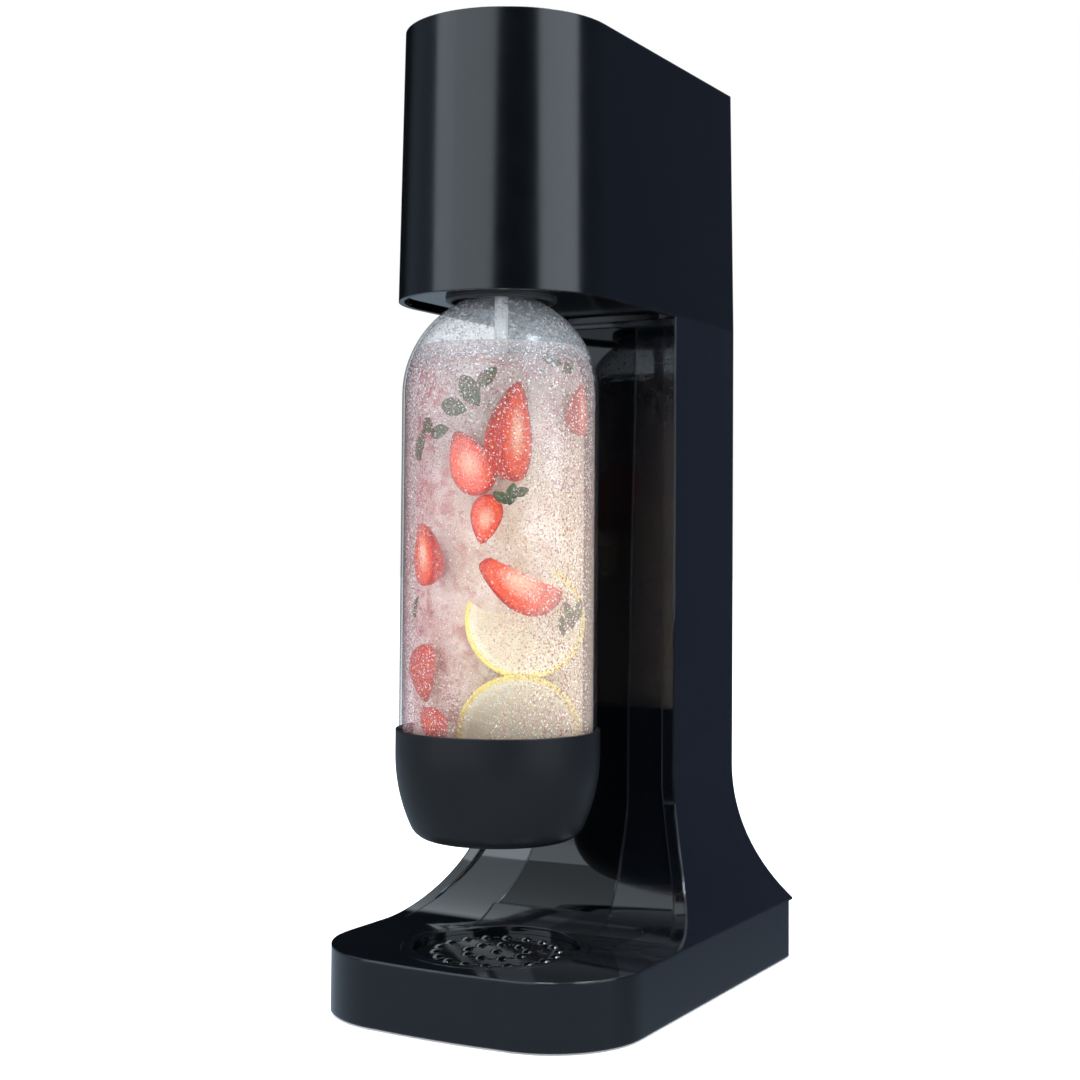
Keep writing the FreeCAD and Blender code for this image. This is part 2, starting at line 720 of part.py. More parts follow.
def screw(name, x, y, low, length, head_down=True):
    """Pan-head screw whose head is at its foot, or at its top."""
    shank = rod(name + "_shank", "{screw_radius} - {running}", length, x, y, low)
    place = low if head_down else f"{low} + {length} - {{screw_head}}"
    head = rod(name + "_head", "2 * {screw_radius}", "{screw_head}", x, y, place)
    return joined(name, [shank, head])


def make_screws():
    """Screws of the base plate and of the chassis."""
    base = [screw(f"base_screw_{i}", x, y, PLATE_LOW + " + {running}", "{plate_thick} + {screw_grip}")
            for i, (x, y) in enumerate(BASE_SCREWS)]
    keep("base_screws", group("base_screws", base))
    low, rise = "({seam_height} - {deck} + 0.5)", f"({CHASSIS_TOP} - {{seam_height}} + {{deck}} + 0.6)"
    frame = [screw(f"frame_screw_{i}", x, y, low, rise, head_down=False)
             for i, (x, y) in enumerate(POSTS)]
    keep("frame_screws", group("frame_screws", frame))


# ---------------------------------------------------------------- gas side

def make_cylinder():
    """Gas cylinder, its brass valve and the pin in the valve."""
    r, neck = "{cylinder_radius}", "{cylinder_neck}"
    shoulder = f"({{chassis_low}} - 14)"
    dome = f"({shoulder} - 8)"
    slope = f"(({r} - {neck}) * {{shoulder_slope}})"
    inner = f"({r} - {{cylinder_wall}})"
    body = turned("gas_cylinder", [
        ("0", "{cylinder_floor}"),
        (r + " - {cylinder_foot}", "{cylinder_floor}", "{cylinder_foot}", 1),
        (r, "{cylinder_floor} + {cylinder_foot}"),
        (r, f"{dome} - {slope}", flare_radius(slope, f"({r} - {neck})"), 1),
        (neck, dome),
        (neck, shoulder),
        (neck + " - 5", shoulder),
        (neck + " - 5", f"{dome} - {{cylinder_wall}}"),
        (inner, f"{dome} - {slope} - {{cylinder_wall}}"),
        (inner, "{cylinder_floor} + 6"),
        ("0", "{cylinder_floor} + 6"),
    ])
    keep("gas_cylinder", body, y=CYLINDER_Y)
    collar_top = f"({{chassis_low}} - 1)"
    pin_room = "({valve_pin_radius} + {running})"
    valve = turned("cylinder_valve", [
        ("0", shoulder),
        ("{collar_radius}", shoulder),
        ("{collar_radius}", collar_top),
        ("{thread_radius}", collar_top),
        ("{thread_radius}", VALVE_TOP + " - 1"),
        ("{thread_radius} - 1", VALVE_TOP),
        (pin_room, VALVE_TOP),
        (pin_room, VALVE_TOP + " - 11"),
        ("0", VALVE_TOP + " - 11"),
    ])
    keep("cylinder_valve", valve, y=CYLINDER_Y)
    keep("valve_pin", rod("valve_pin", "{valve_pin_radius}", "{valve_pin_length}"), y=CYLINDER_Y,
         z=VALVE_TOP + " - {valve_pin_length}")
    bore = "({cylinder_radius} + {cylinder_room} - {seam_gap})"
    outside = "({cylinder_radius} + {cylinder_room} + {wall})"
    top = "({cylinder_floor} + {cradle_height})"
    ring = turned("cylinder_cradle", [
        ("{cylinder_radius} - {cradle_step}", PLATE_TOP),
        (outside, PLATE_TOP),
        (outside, top),
        (bore, top),
        (bore, CRADLE_FLOOR),
        ("{cylinder_radius} - {cradle_step}", CRADLE_FLOOR),
    ])
    keep("cylinder_cradle", ring, y=CYLINDER_Y)


def make_valve_block():
    """Brass block that the cylinder screws into, with its seal and plunger."""
    bore = "({thread_radius} + {running})"
    hole = "({plunger_radius} + {running})"
    block = turned("block_blank", [
        (bore, CHASSIS_TOP),
        ("{block_radius}", CHASSIS_TOP),
        ("{block_radius}", BLOCK_TOP + " - 2"),
        ("{block_radius} - 2", BLOCK_TOP),
        (hole, BLOCK_TOP),
        (hole, SOCKET_TOP),
        (bore, SOCKET_TOP),
    ])
    block.setExpression("Placement.Base.y", cell(CYLINDER_Y))
    way = rod("gas_way", "1.2", "{block_radius}", "0", f"{CYLINDER_Y} - {{block_radius}} - 1",
              GAS_HIGH, along="y")
    keep("valve_block", cut("valve_block", block, [way]))
    seal = turned("cylinder_seal", [
        ("{plunger_radius} + 0.6", VALVE_TOP + " + 0.02"),
        ("{thread_radius} - 0.2", VALVE_TOP + " + 0.02"),
        ("{thread_radius} - 0.2", SOCKET_TOP),
        ("{plunger_radius} + 0.6", SOCKET_TOP),
    ])
    keep("cylinder_seal", seal, y=CYLINDER_Y)
    top = "({lever_low} - {part_gap})"
    plunger = turned("valve_plunger", [
        ("0", VALVE_TOP + " + {part_gap}"),
        ("{plunger_radius} - 0.5", VALVE_TOP + " + {part_gap}"),
        ("{plunger_radius} - 0.5", VALVE_TOP + " + {part_gap} + 3"),
        ("{plunger_radius}", VALVE_TOP + " + {part_gap} + 3"),
        ("{plunger_radius}", top + " - {plunger_head_height}"),
        ("{plunger_head}", top + " - {plunger_head_height}"),
        ("{plunger_head}", top + " - 1.2"),
        ("{plunger_radius}", top),
        ("0", top),
    ])
    keep("valve_plunger", plunger, y=CYLINDER_Y)


def make_lever():
    """Lever that carries the button's push back to the plunger, and its pin."""
    reach = f"({PIVOT_Y} - {BOTTLE_Y})"
    bar = box("lever_bar", "{lever_width}", reach + " + 12", "{lever_thick}",
              y=f"({PIVOT_Y} + {BOTTLE_Y}) / 2 - 1", z="{lever_low}")
    hole = rod("lever_hole", "{pivot_pin} + {running}", "4 * {lever_width}",
               "-2 * {lever_width}", PIVOT_Y, PIVOT_Z, along="x")
    keep("valve_lever", cut("valve_lever", bar, [hole]))
    pin_half = "({lever_width} / 2 + 5)"
    keep("lever_pin", rod("lever_pin", "{pivot_pin}", "2 * " + pin_half, f"-{pin_half}",
                          PIVOT_Y, PIVOT_Z, along="x"))


def make_chassis():
    """Plate with posts, side ribs and the lever's two ears."""
    front = f"({BOTTLE_Y} - {{head_body_radius}} - {{head_flange}} - 4.5)"
    back = f"({COLUMN_BACK} - {{wall}} - 1)"
    half = f"({COLUMN_HALF} - {{wall}} - {{head_taper}} - 3)"
    plate = box("chassis_plate", f"2 * {half}", f"{back} - ({BOTTLE_Y})", "{chassis_thick}",
                y=f"({back} + {BOTTLE_Y}) / 2", z="{chassis_low}")
    nose = rod("chassis_nose", f"({BOTTLE_Y} - {front})", "{chassis_thick}", y=BOTTLE_Y,
               z="{chassis_low}")
    narrow = box("chassis_cut", f"2 * {half}", f"{COLUMN_FRONT} - ({BOTTLE_Y}) - 10", "20",
                 y=f"({COLUMN_FRONT} - 10 + {BOTTLE_Y}) / 2", z="{chassis_low} - 5")
    neck = box("chassis_neck", f"2 * ({BOTTLE_Y} - {front})", f"{COLUMN_FRONT} - ({BOTTLE_Y})",
               "{chassis_thick}", y=f"({COLUMN_FRONT} + {BOTTLE_Y}) / 2", z="{chassis_low}")
    ribs = [box(f"chassis_rib_{i}", "3", f"{back} - ({BOTTLE_Y}) - 8", "8",
                x=f"{side} * (({BOTTLE_Y} - {front}) - 1.5)", y=f"({back} + {BOTTLE_Y}) / 2",
                z=CHASSIS_TOP) for i, side in enumerate((-1, 1))]
    posts = [rod(f"post_{i}", "{post_radius}", "{chassis_low} - {seam_height}", x, y,
                 "{seam_height}") for i, (x, y) in enumerate(POSTS)]
    ears = [box(f"ear_{i}", "3", "10", f"{LEVER_TOP} + 1 - {CHASSIS_TOP}",
                x=f"{side} * ({{lever_width}} / 2 + 2.5)", y=PIVOT_Y, z=CHASSIS_TOP)
            for i, side in enumerate((-1, 1))]
    blank = cut("chassis_blank", joined("chassis_flat", [plate, nose]), [narrow])
    solid = joined("chassis_solid", [blank, nose, neck] + ribs + posts + ears)
    cuts = [
        rod("chassis_valve_hole", "{collar_radius} + {part_gap}", "20", y=CYLINDER_Y,
            z="{chassis_low} - 5"),
        rod("chassis_head_hole", "{head_body_radius} + 0.1", "20", y=BOTTLE_Y,
            z="{chassis_low} - 5"),
        rod("chassis_pin_hole", "{pivot_pin}", "60", "-30", PIVOT_Y, PIVOT_Z, along="x"),
    ] + [rod(f"post_hole_{i}", "{screw_radius}", "60", x, y, "{seam_height} - 5")
         for i, (x, y) in enumerate(POSTS)]
    keep("mech_frame", cut("mech_frame", solid, cuts))


# ---------------------------------------------------------------- water side

def make_carbonation_head():
    """Block over the bottle's mouth: neck socket, gas way and relief seat."""
    socket = "({neck_radius} + {part_gap})"
    seal_low = "({mouth_height} + 0.2)"
    seal_top = f"({seal_low} + {{bottle_seal}})"
    head = turned("head_blank", [
        (socket, SKIRT_LOW + " + 1"),
        ("{head_body_radius}", SKIRT_LOW + " + 1"),
        ("{head_body_radius}", CHASSIS_TOP),
        ("{head_body_radius} + {head_flange}", CHASSIS_TOP),
        ("{head_body_radius} + {head_flange}", CHASSIS_TOP + " + 3"),
        ("{head_body_radius}", CHASSIS_TOP + " + 3"),
        ("{head_body_radius}", HEAD_BODY_TOP),
        ("2", HEAD_BODY_TOP),
        ("2", HEAD_BODY_TOP + " - 4"),
        ("{tube_radius}", HEAD_BODY_TOP + " - 4"),
        ("{tube_radius}", seal_top),
        (socket, seal_top),
    ])
    head.setExpression("Placement.Base.y", cell(BOTTLE_Y))
    port = rod("gas_port", "{gas_tube_radius}", "{head_body_radius}", "0", BOTTLE_Y, GAS_LOW,
               along="y")
    keep("carbonation_head", cut("carbonation_head", head, [port]))
    seal = turned("bottle_seal", [
        ("5", seal_low),
        ("{neck_radius}", seal_low),
        ("{neck_radius}", seal_top),
        ("5", seal_top),
    ])
    keep("bottle_seal", seal, y=BOTTLE_Y)
    tube = turned("nozzle_tube", [
        ("{tube_bore}", "{tube_tip} + 6"),
        ("{tube_radius}", "{tube_tip} + 6"),
        ("{tube_radius}", GAS_LOW),
        ("{tube_bore}", GAS_LOW),
    ])
    keep("nozzle_tube", tube, y=BOTTLE_Y)
    tip = turned("nozzle_tip", [
        ("0.4", "{tube_tip}"),
        ("{tube_bore}", "{tube_tip}"),
        ("{tube_radius} + 0.8", "{tube_tip} + 3"),
        ("{tube_radius} + 0.8", "{tube_tip} + 6"),
        ("0.4", "{tube_tip} + 6"),
    ])
    keep("nozzle_tip", tip, y=BOTTLE_Y)


def make_relief():
    """Overpressure valve on the carbonation head."""
    low = HEAD_BODY_TOP
    body = turned("relief_body", [
        ("2", low),
        ("{relief_radius}", low),
        ("{relief_radius}", RELIEF_TOP),
        ("{relief_bore}", RELIEF_TOP),
        ("{relief_bore}", low + " + 2"),
        ("2", low + " + 2"),
    ])
    keep("relief_body", body, y=BOTTLE_Y)
    poppet = turned("relief_poppet", [
        ("0", low + " + 2"),
        ("{relief_bore} - {running}", low + " + 2"),
        ("{relief_bore} - {running}", low + " + 5"),
        ("1.8", low + " + 5"),
        ("1.8", low + " + 12"),
        ("0", low + " + 12"),
    ])
    keep("relief_poppet", poppet, y=BOTTLE_Y)
    cap = turned("relief_cap", [
        ("2.4", RELIEF_TOP),
        ("{relief_radius}", RELIEF_TOP),
        ("{relief_radius}", RELIEF_TOP + " + 2"),
        ("{relief_radius} - 1", RELIEF_TOP + " + 3"),
        ("2.4", RELIEF_TOP + " + 3"),
    ])
    keep("relief_cap", cap, y=BOTTLE_Y)
    coil_spring("relief_spring", number("{relief_bore} - 1.6"), 0.5, number(low + " + 5"),
                number(RELIEF_TOP), 5, 0.0, number(BOTTLE_Y))


def make_gas_tube():
    """Bent tube from the valve block down to the carbonation head, and its nuts."""
    start_y = number(f"{CYLINDER_Y} - {{block_radius}}")
    end_y = number(f"{BOTTLE_Y} + {{head_body_radius}}")
    high, low = number(GAS_HIGH), number(GAS_LOW)
    bend = (high - low) / 2
    middle = (start_y + end_y) / 2
    corner = bend * math.tan(math.radians(30))
    rise = bend / math.tan(math.radians(60))
    run = Part.makePolygon([V(0, start_y, high), V(0, middle + rise + corner * 2, high)])
    knee_a = Part.Arc(V(0, middle + rise + corner * 2, high),
                      V(0, middle + rise + corner * 0.9, high - corner * 0.25),
                      V(0, middle + rise, high - corner * 0.9)).toShape()
    slope = Part.makePolygon([V(0, middle + rise, high - corner * 0.9),
                              V(0, middle - rise, low + corner * 0.9)])
    knee_b = Part.Arc(V(0, middle - rise, low + corner * 0.9),
                      V(0, middle - rise - corner * 0.9, low + corner * 0.25),
                      V(0, middle - rise - corner * 2, low)).toShape()
    last = Part.makePolygon([V(0, middle - rise - corner * 2, low), V(0, end_y, low)])
    path = Part.Wire(run.Edges + [knee_a] + slope.Edges + [knee_b] + last.Edges)
    ring = Part.Wire(Part.makeCircle(number("{gas_tube_radius}"), V(0, start_y, high), V(0, -1, 0)))
    tube = doc.addObject("Part::Feature", "gas_tube")
    tube.Shape = path.makePipeShell([ring], True, False, 2)
    keep("gas_tube", tube)
    nut = "({gas_tube_radius} + {nut_wall})"
    fixed = "({gas_tube_radius} + {running})"
    nuts = []
    for label, y, z in (("back", f"{CYLINDER_Y} - {{block_radius}} - {{nut_length}} - 0.1", GAS_HIGH),
                        ("front", f"{BOTTLE_Y} + {{head_body_radius}} + {{head_flange}} + 0.1",
                         GAS_LOW)):
        body = rod(f"nut_{label}", nut, "{nut_length}", "0", y, z, along="y")
        hole = rod(f"nut_{label}_hole", fixed, "30", "0", y + " - 10", z, along="y")
        nuts.append(cut(f"tube_nut_{label}", body, [hole]))
    keep("tube_nuts", group("tube_nuts", nuts))


# ---------------------------------------------------------------- bottle and tray

def make_bottle():
    """Clear bottle with a domed shoulder, and its black base cup."""
    r, w = "{bottle_radius}", "{bottle_wall}"
    dome = "({bottle_radius} + {dome_swell})"
    dome_z = f"({{neck_low}} - sqrt({dome}^2 - ({{neck_radius}} + {{dome_swell}})^2))"
    bore_base = f"({dome_z} + sqrt(({dome} - {w})^2 - ({{neck_bore}} + {{dome_swell}})^2))"
    floor = "({cup_low} + 4)"
    bottle = turned("bottle", [
        ("0", floor),
        (r + " - {bottle_foot}", floor, "{bottle_foot}", 1),
        (r, floor + " + {bottle_foot}"),
        (r, dome_z, dome, 1),
        ("{neck_radius}", "{neck_low}"),
        ("{neck_radius}", "{mouth_height}"),
        ("{neck_bore}", "{mouth_height}"),
        ("{neck_bore}", bore_base, f"{dome} - {w}", -1),
        (f"{r} - {w}", dome_z),
        (f"{r} - {w}", floor + " + {bottle_foot}", "{bottle_foot} - " + w, -1),
        (r + " - {bottle_foot}", floor + " + " + w),
        ("0", floor + " + " + w),
    ])
    keep("bottle", bottle, y=BOTTLE_Y)
    side, corner = "{cup_side_radius}", "{cup_corner}"
    sine = f"(({{cup_side_top}} - {corner} - {{cup_low}}) / ({side} - {corner}))"
    cosine = f"sqrt(1 - {sine}^2)"
    rim = "({bottle_radius} + {cup_lip})"
    centre_x = f"({rim} - {side})"
    knee_x = f"({centre_x} + {side} * {cosine})"
    knee_z = f"({{cup_side_top}} - {side} * {sine})"
    foot_x = f"({centre_x} + ({side} - {corner}) * {cosine})"
    inner = f"({r} + {{running}})"
    cup = turned("bottle_cup", [
        ("0", "{cup_low}"),
        (foot_x, "{cup_low}", corner, 1),
        (knee_x, knee_z, side, 1),
        (rim, "{cup_side_top}"),
        (rim, "{cup_rim}"),
        (inner, "{cup_rim}"),
        (inner, floor + " + {bottle_foot}", "{bottle_foot} + {running}", -1),
        (r + " - {bottle_foot}", floor + " - {running}"),
        ("0", floor + " - {running}"),
    ])
    keep("bottle_cup", cup, y=BOTTLE_Y)


def make_tray():
    """Round drip basin with a tongue that follows the scoop."""
    floor = "({base_top} - {basin_depth})"
    basin = turned("basin", [
        ("0", floor),
        ("{basin_radius}", floor),
        ("{basin_radius}", "{base_top} - {tray_skin}"),
        ("{tray_rim_radius}", "{base_top} - {tray_skin}"),
        ("{tray_rim_radius}", "{base_top}"),
        ("0", "{base_top}"),
    ])
    basin.setExpression("Placement.Base.y", cell(BOTTLE_Y))
    tongue = wall_band("tongue", "{tray_skin}", tongue_outline("tongue_plan", "0"))
    room = rod("basin_room", "{basin_radius} - 1.5", "{basin_depth}", y=BOTTLE_Y,
               z=floor + " + 1.5")
    seat = rod("grate_seat", GRATE_RADIUS + " + {grate_gap}", "10", y=BOTTLE_Y, z=GRATE_LOW)
    ledge = turned("grate_ledge", [
        ("{basin_radius} - 4", GRATE_LOW + " - 1.5"),
        ("{basin_radius} - 1.4", GRATE_LOW + " - 1.5"),
        ("{basin_radius} - 1.4", GRATE_LOW),
        ("{basin_radius} - 4", GRATE_LOW),
    ])
    ledge.setExpression("Placement.Base.y", cell(BOTTLE_Y))
    tray = cut("tray_cut", joined("tray_blank", [basin, tongue]), [room, seat])
    keep("drip_tray", joined("drip_tray", [tray, ledge]))


def make_grate():
    """Round grate with domed studs in rings and drain holes between them."""
    disc = rod("grate_disc", GRATE_RADIUS, "{grate_thick}", y=BOTTLE_Y, z=GRATE_LOW)
    top = f"({GRATE_LOW} + {{grate_thick}})"
    bead = flare_radius("{stud_radius}", "{stud_rise}")
    studs, drains = [], []
    for ring, count in enumerate((1, 9, 18)):
        for i in range(count):
            angle = 360.0 * i / count - 10.0
            x = f"({ring} * {{stud_ring}} * cos({angle} deg))"
            y = f"({BOTTLE_Y} + {ring} * {{stud_ring}} * sin({angle} deg))"
            ball = doc.addObject("Part::Sphere", f"stud_{ring}_{i}")
            ball.setExpression("Radius", cell(bead))
            for axis, place in zip("xyz", (x, y, f"{top} + {{stud_rise}} - {bead}")):
                ball.setExpression("Placement.Base." + axis, cell(place))
            studs.append(ball)
    for ring, count in ((1, 9), (2, 18)):
        for i in range(count):
            angle = 360.0 * (i + 0.5) / count - 10.0
            x = f"({ring} * {{stud_ring}} * cos({angle} deg))"
            y = f"({BOTTLE_Y} + {ring} * {{stud_ring}} * sin({angle} deg))"
            drains.append(rod(f"drain_{ring}_{i}", "{drain_radius}", "10", x, y,
                              GRATE_LOW + " - 4"))
    caps = shared("studs_above", joined("stud_balls", studs),
                  rod("stud_zone", GRATE_RADIUS, "{stud_rise} + {grate_thick}", y=BOTTLE_Y,
                      z=GRATE_LOW + " + 0.5 * {grate_thick}"))
    grate = cut("drip_grate", joined("grate_blank", [disc, caps]), drains)
    keep("drip_grate", grate)


def check_and_write():
    """Check every object and write one file for each sub-part."""
    doc.recompute()
    for thing in doc.Objects:
        if "Invalid" in thing.State or "Error" in thing.State:
            raise RuntimeError(f"{thing.Name} ({thing.Label}) failed: {thing.State}")
    os.makedirs("parts", exist_ok=True)
    for node, piece in nodes.items():
        shape = piece.Shape
        if shape.isNull() or not shape.isValid() or not shape.Solids:
            raise RuntimeError(f"{node} has no valid solid")
        shape.exportStep(f"parts/{node}.step")
        size = shape.BoundBox
        print(f"{node:18s} {len(shape.Solids):3d} solid {shape.Volume:10.0f} mm3 "
              f"x {size.XMin:.1f} {size.XMax:.1f} y {size.YMin:.1f} {size.YMax:.1f} "
              f"z {size.ZMin:.1f} {size.ZMax:.1f}")


for make in (make_housing, make_front_panel, make_rear_cover, make_head_shell, make_top_plate,
             make_button, make_underside, make_base_plate, make_screws, make_cylinder,
             make_valve_block, make_lever, make_chassis, make_carbonation_head, make_relief,
             make_gas_tube, make_bottle, make_tray, make_grate):
    make()
check_and_write()
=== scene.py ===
import logging
import math
import random
from dataclasses import dataclass, field
from enum import Enum

import bmesh
import bpy
from mathutils import Matrix, Vector


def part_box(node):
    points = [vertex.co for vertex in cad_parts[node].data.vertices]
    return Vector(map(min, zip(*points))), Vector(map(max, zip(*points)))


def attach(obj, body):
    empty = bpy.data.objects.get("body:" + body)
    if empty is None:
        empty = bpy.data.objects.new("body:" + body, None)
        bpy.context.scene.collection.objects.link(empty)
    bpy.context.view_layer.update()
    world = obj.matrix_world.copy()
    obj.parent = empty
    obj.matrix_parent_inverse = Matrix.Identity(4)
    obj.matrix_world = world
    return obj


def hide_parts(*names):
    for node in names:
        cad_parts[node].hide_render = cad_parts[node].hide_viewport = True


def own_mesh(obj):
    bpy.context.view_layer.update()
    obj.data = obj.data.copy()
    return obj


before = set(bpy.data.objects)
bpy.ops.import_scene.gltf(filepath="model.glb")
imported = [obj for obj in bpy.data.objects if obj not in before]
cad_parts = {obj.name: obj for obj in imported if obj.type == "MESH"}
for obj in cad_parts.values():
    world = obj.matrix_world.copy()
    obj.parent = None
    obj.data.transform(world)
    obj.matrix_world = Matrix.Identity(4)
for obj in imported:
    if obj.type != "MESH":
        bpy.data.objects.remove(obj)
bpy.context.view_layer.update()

MM = 0.001
LOG = logging.getLogger("soda_carbonator")

Colour = tuple[float, float, float]


# ---------------------------------------------------------------- shader building


class Spread(Enum):
    """How a pattern is stretched over a piece."""

    EVEN = (1.0, 1.0, 1.0)
    UPRIGHT = (1.0, 1.0, 0.04)
    ROUND = (0.05, 1.0, 1.0)
    LEVEL = (1.0, 1.0, 30.0)


class Fixed(Enum):
    """End of a spring that stays in place."""

    FOOT = "foot"
    TOP = "top"


class NodeBoard:
    """Shader nodes of one material, with short calls for the usual patterns."""

    material: bpy.types.Material | None = None

    def __init__(self, name: str) -> None:
        """Start an empty material.

        Args:
            name: Name of the material.
        """
        self.material = bpy.data.materials.new(name)
        self.material.use_nodes = True
        self.tree = self.material.node_tree
        self.tree.nodes.clear()
        self.output = self.tree.nodes.new("ShaderNodeOutputMaterial")

    def node(self, kind: str, inputs: dict | None = None, **settings: object) -> bpy.types.Node:
        """Add a node and fill its sockets with values or links.

        Args:
            kind: Node type without its ShaderNode prefix.
            inputs: Socket name or number to a value or to another node's output.
            settings: Properties of the node.

        Returns:
            The new node.
        """
        made = self.tree.nodes.new("ShaderNode" + kind)
        for key, value in settings.items():
            setattr(made, key, value)
        for key, value in (inputs or {}).items():
            if isinstance(value, bpy.types.NodeSocket):
                self.tree.links.new(value, made.inputs[key])
            else:
                made.inputs[key].default_value = value
        return made

    def place(self, spread: Spread = Spread.EVEN) -> bpy.types.NodeSocket:
        """Return the piece's own coordinates, stretched one way."""
        where = self.node("TexCoord").outputs["Object"]
        return self.node("Mapping", {"Vector": where, "Scale": spread.value}).outputs["Vector"]

    def noise(self, scale: float, detail: float = 3.0, spread: Spread = Spread.EVEN,
              warp: float = 0.0) -> bpy.types.NodeSocket:
        """Return a cloudy pattern between 0 and 1.

        Args:
            scale: Cells to the metre.
            detail: Layers of finer cloud.
            spread: How the pattern is stretched.
            warp: How much the pattern is distorted.

        Returns:
            The pattern's value.
        """
        return self.node("TexNoise", {"Vector": self.place(spread), "Scale": scale,
                                      "Detail": detail, "Distortion": warp}).outputs["Fac"]

    def cells(self, scale: float, sharp: float = 0.0) -> bpy.types.NodeSocket:
        """Return the distance to the nearest of many scattered points."""
        return self.node("TexVoronoi", {"Vector": self.place(), "Scale": scale,
                                        "Randomness": 1.0 - sharp}).outputs["Distance"]

    def attribute(self, name: str) -> bpy.types.NodeSocket:
        """Return a number stored on the piece's own mesh."""
        return self.node("Attribute", attribute_name=name).outputs["Fac"]

    def maths(self, rule: str, first: object, second: object = 0.0) -> bpy.types.NodeSocket:
        """Return the result of one sum."""
        return self.node("Math", {0: first, 1: second}, operation=rule).outputs[0]

    def spanned(self, source: bpy.types.NodeSocket, low: float, high: float,
                start: float = 0.3, end: float = 0.7) -> bpy.types.NodeSocket:
        """Return a pattern stretched from start..end to low..high."""
        return self.node("MapRange", {0: source, 1: start, 2: end, 3: low, 4: high}).outputs[0]

    def blend(self, share: object, first: object, second: object) -> bpy.types.NodeSocket:
        """Return a mix of two colours.

        Args:
            share: 0 for the first colour and 1 for the second.
            first: A colour or a link to one.
            second: A colour or a link to one.

        Returns:
            The mixed colour.
        """
        colours = [(*c, 1.0) if isinstance(c, tuple) else c for c in (first, second)]
        return self.node("Mix", {0: share, 6: colours[0], 7: colours[1]},
                         data_type="RGBA").outputs[2]

    def rounded(self, radius: float) -> bpy.types.NodeSocket:
        """Return normals that turn softly over a moulded edge."""
        return self.node("Bevel", {"Radius": radius}, samples=6).outputs["Normal"]

    def bump(self, height: bpy.types.NodeSocket, strength: float, depth: float,
             normal: bpy.types.NodeSocket | None = None) -> bpy.types.NodeSocket:
        """Return normals roughened by a height pattern.

        Args:
            height: Pattern of heights.
            strength: Share of the effect.
            depth: Depth of the relief in metres.
            normal: Normals to start from.

        Returns:
            The new normals.
        """
        inputs = {"Height": height, "Strength": strength, "Distance": depth}
        if normal is not None:
            inputs["Normal"] = normal
        return self.node("Bump", inputs).outputs["Normal"]

    def surface(self, shader: bpy.types.Node) -> bpy.types.Material | None:
        """Link the last shader to the output and return the material, if there is one."""
        self.tree.links.new(shader.outputs[0], self.output.inputs["Surface"])
        return self.material


class WorldBoard(NodeBoard):
    """Shader nodes of the surroundings."""

    def __init__(self, name: str) -> None:
        """Start empty surroundings and make them the scene's.

        Args:
            name: Name of the surroundings.
        """
        world = bpy.data.worlds.new(name)
        bpy.context.scene.world = world
        world.use_nodes = True
        self.tree = world.node_tree
        self.tree.nodes.clear()
        self.output = self.tree.nodes.new("ShaderNodeOutputWorld")
        self.way = self.node("TexCoord").outputs["Generated"]

    def towards(self, way: tuple[float, float, float], start: float,
                end: float) -> bpy.types.NodeSocket:
        """Return a share that grows from 0 to 1 as directions turn one way.

        Args:
            way: The direction.
            start: Cosine of the angle at which the share is 0.
            end: Cosine of the angle at which it is 1.

        Returns:
            The share.
        """
        along = self.node("VectorMath", {0: self.way, 1: way}, operation="DOT_PRODUCT")
        return self.spanned(along.outputs["Value"], 0.0, 1.0, start, end)


# ---------------------------------------------------------------- finishes


@dataclass(frozen=True)
class Finish:
    """A named finish, whose material is made on first use."""

    name: str

    def shade(self, board: NodeBoard) -> bpy.types.Node:
        """Return the shader, built from the board's patterns."""
        raise NotImplementedError(self.name)

    def material(self) -> bpy.types.Material:
        """Return the material."""
        made = bpy.data.materials.get(self.name)
        if made is None:
            board = NodeBoard(self.name)
            made = board.surface(self.shade(board))
        return made


@dataclass(frozen=True)
class MouldedPlastic(Finish):
    """Moulded plastic, from mirror gloss to matt."""

    colour: Colour
    tint: Colour
    roughness: float
    unevenness: float = 0.02
    grain: float = 900.0
    grain_depth: float = 0.00002
    grain_strength: float = 0.05
    coat: float = 0.0
    edge: float = 0.0006
    ior: float = 1.5
    cloud: float = 22.0
    smear: float = 70.0
    coat_roughness: float = 0.04

    def shade(self, board: NodeBoard) -> bpy.types.Node:
        """Return the shader, built from the board's patterns."""
        cloud = board.noise(self.cloud, 4.0)
        smear = board.noise(self.smear, 5.0, warp=0.6)
        colour = board.blend(board.spanned(cloud, 0.0, 1.0), self.colour, self.tint)
        rough = board.spanned(smear, self.roughness - self.unevenness,
                              self.roughness + self.unevenness)
        normal = board.rounded(self.edge) if self.edge else None
        grain = board.bump(board.noise(self.grain, 2.0), self.grain_strength, self.grain_depth,
                           normal)
        shader = board.node("BsdfPrincipled", {
            "Base Color": colour, "Roughness": rough, "Normal": grain, "IOR": self.ior,
            "Coat Weight": self.coat, "Coat Roughness": self.coat_roughness})
        return shader


@dataclass(frozen=True)
class WorkedMetal(Finish):
    """Bare or plated metal with the marks of the tool that made it."""

    colour: Colour
    tint: Colour
    roughness: float
    spread: Spread = Spread.UPRIGHT
    mark_depth: float = 0.00003
    marks: float = 1800.0
    stain: float = 60.0

    def shade(self, board: NodeBoard) -> bpy.types.Node:
        """Return the shader, built from the board's patterns."""
        marks = board.noise(self.marks, 3.0, self.spread)
        stain = board.noise(self.stain, 4.0)
        colour = board.blend(board.spanned(stain, 0.0, 1.0), self.colour, self.tint)
        rough = board.spanned(marks, self.roughness * 0.7, self.roughness * 1.3)
        normal = board.bump(marks, 0.25, self.mark_depth, board.rounded(0.0003))
        shader = board.node("BsdfPrincipled", {
            "Base Color": colour, "Metallic": 1.0, "Roughness": rough, "Normal": normal})
        return shader


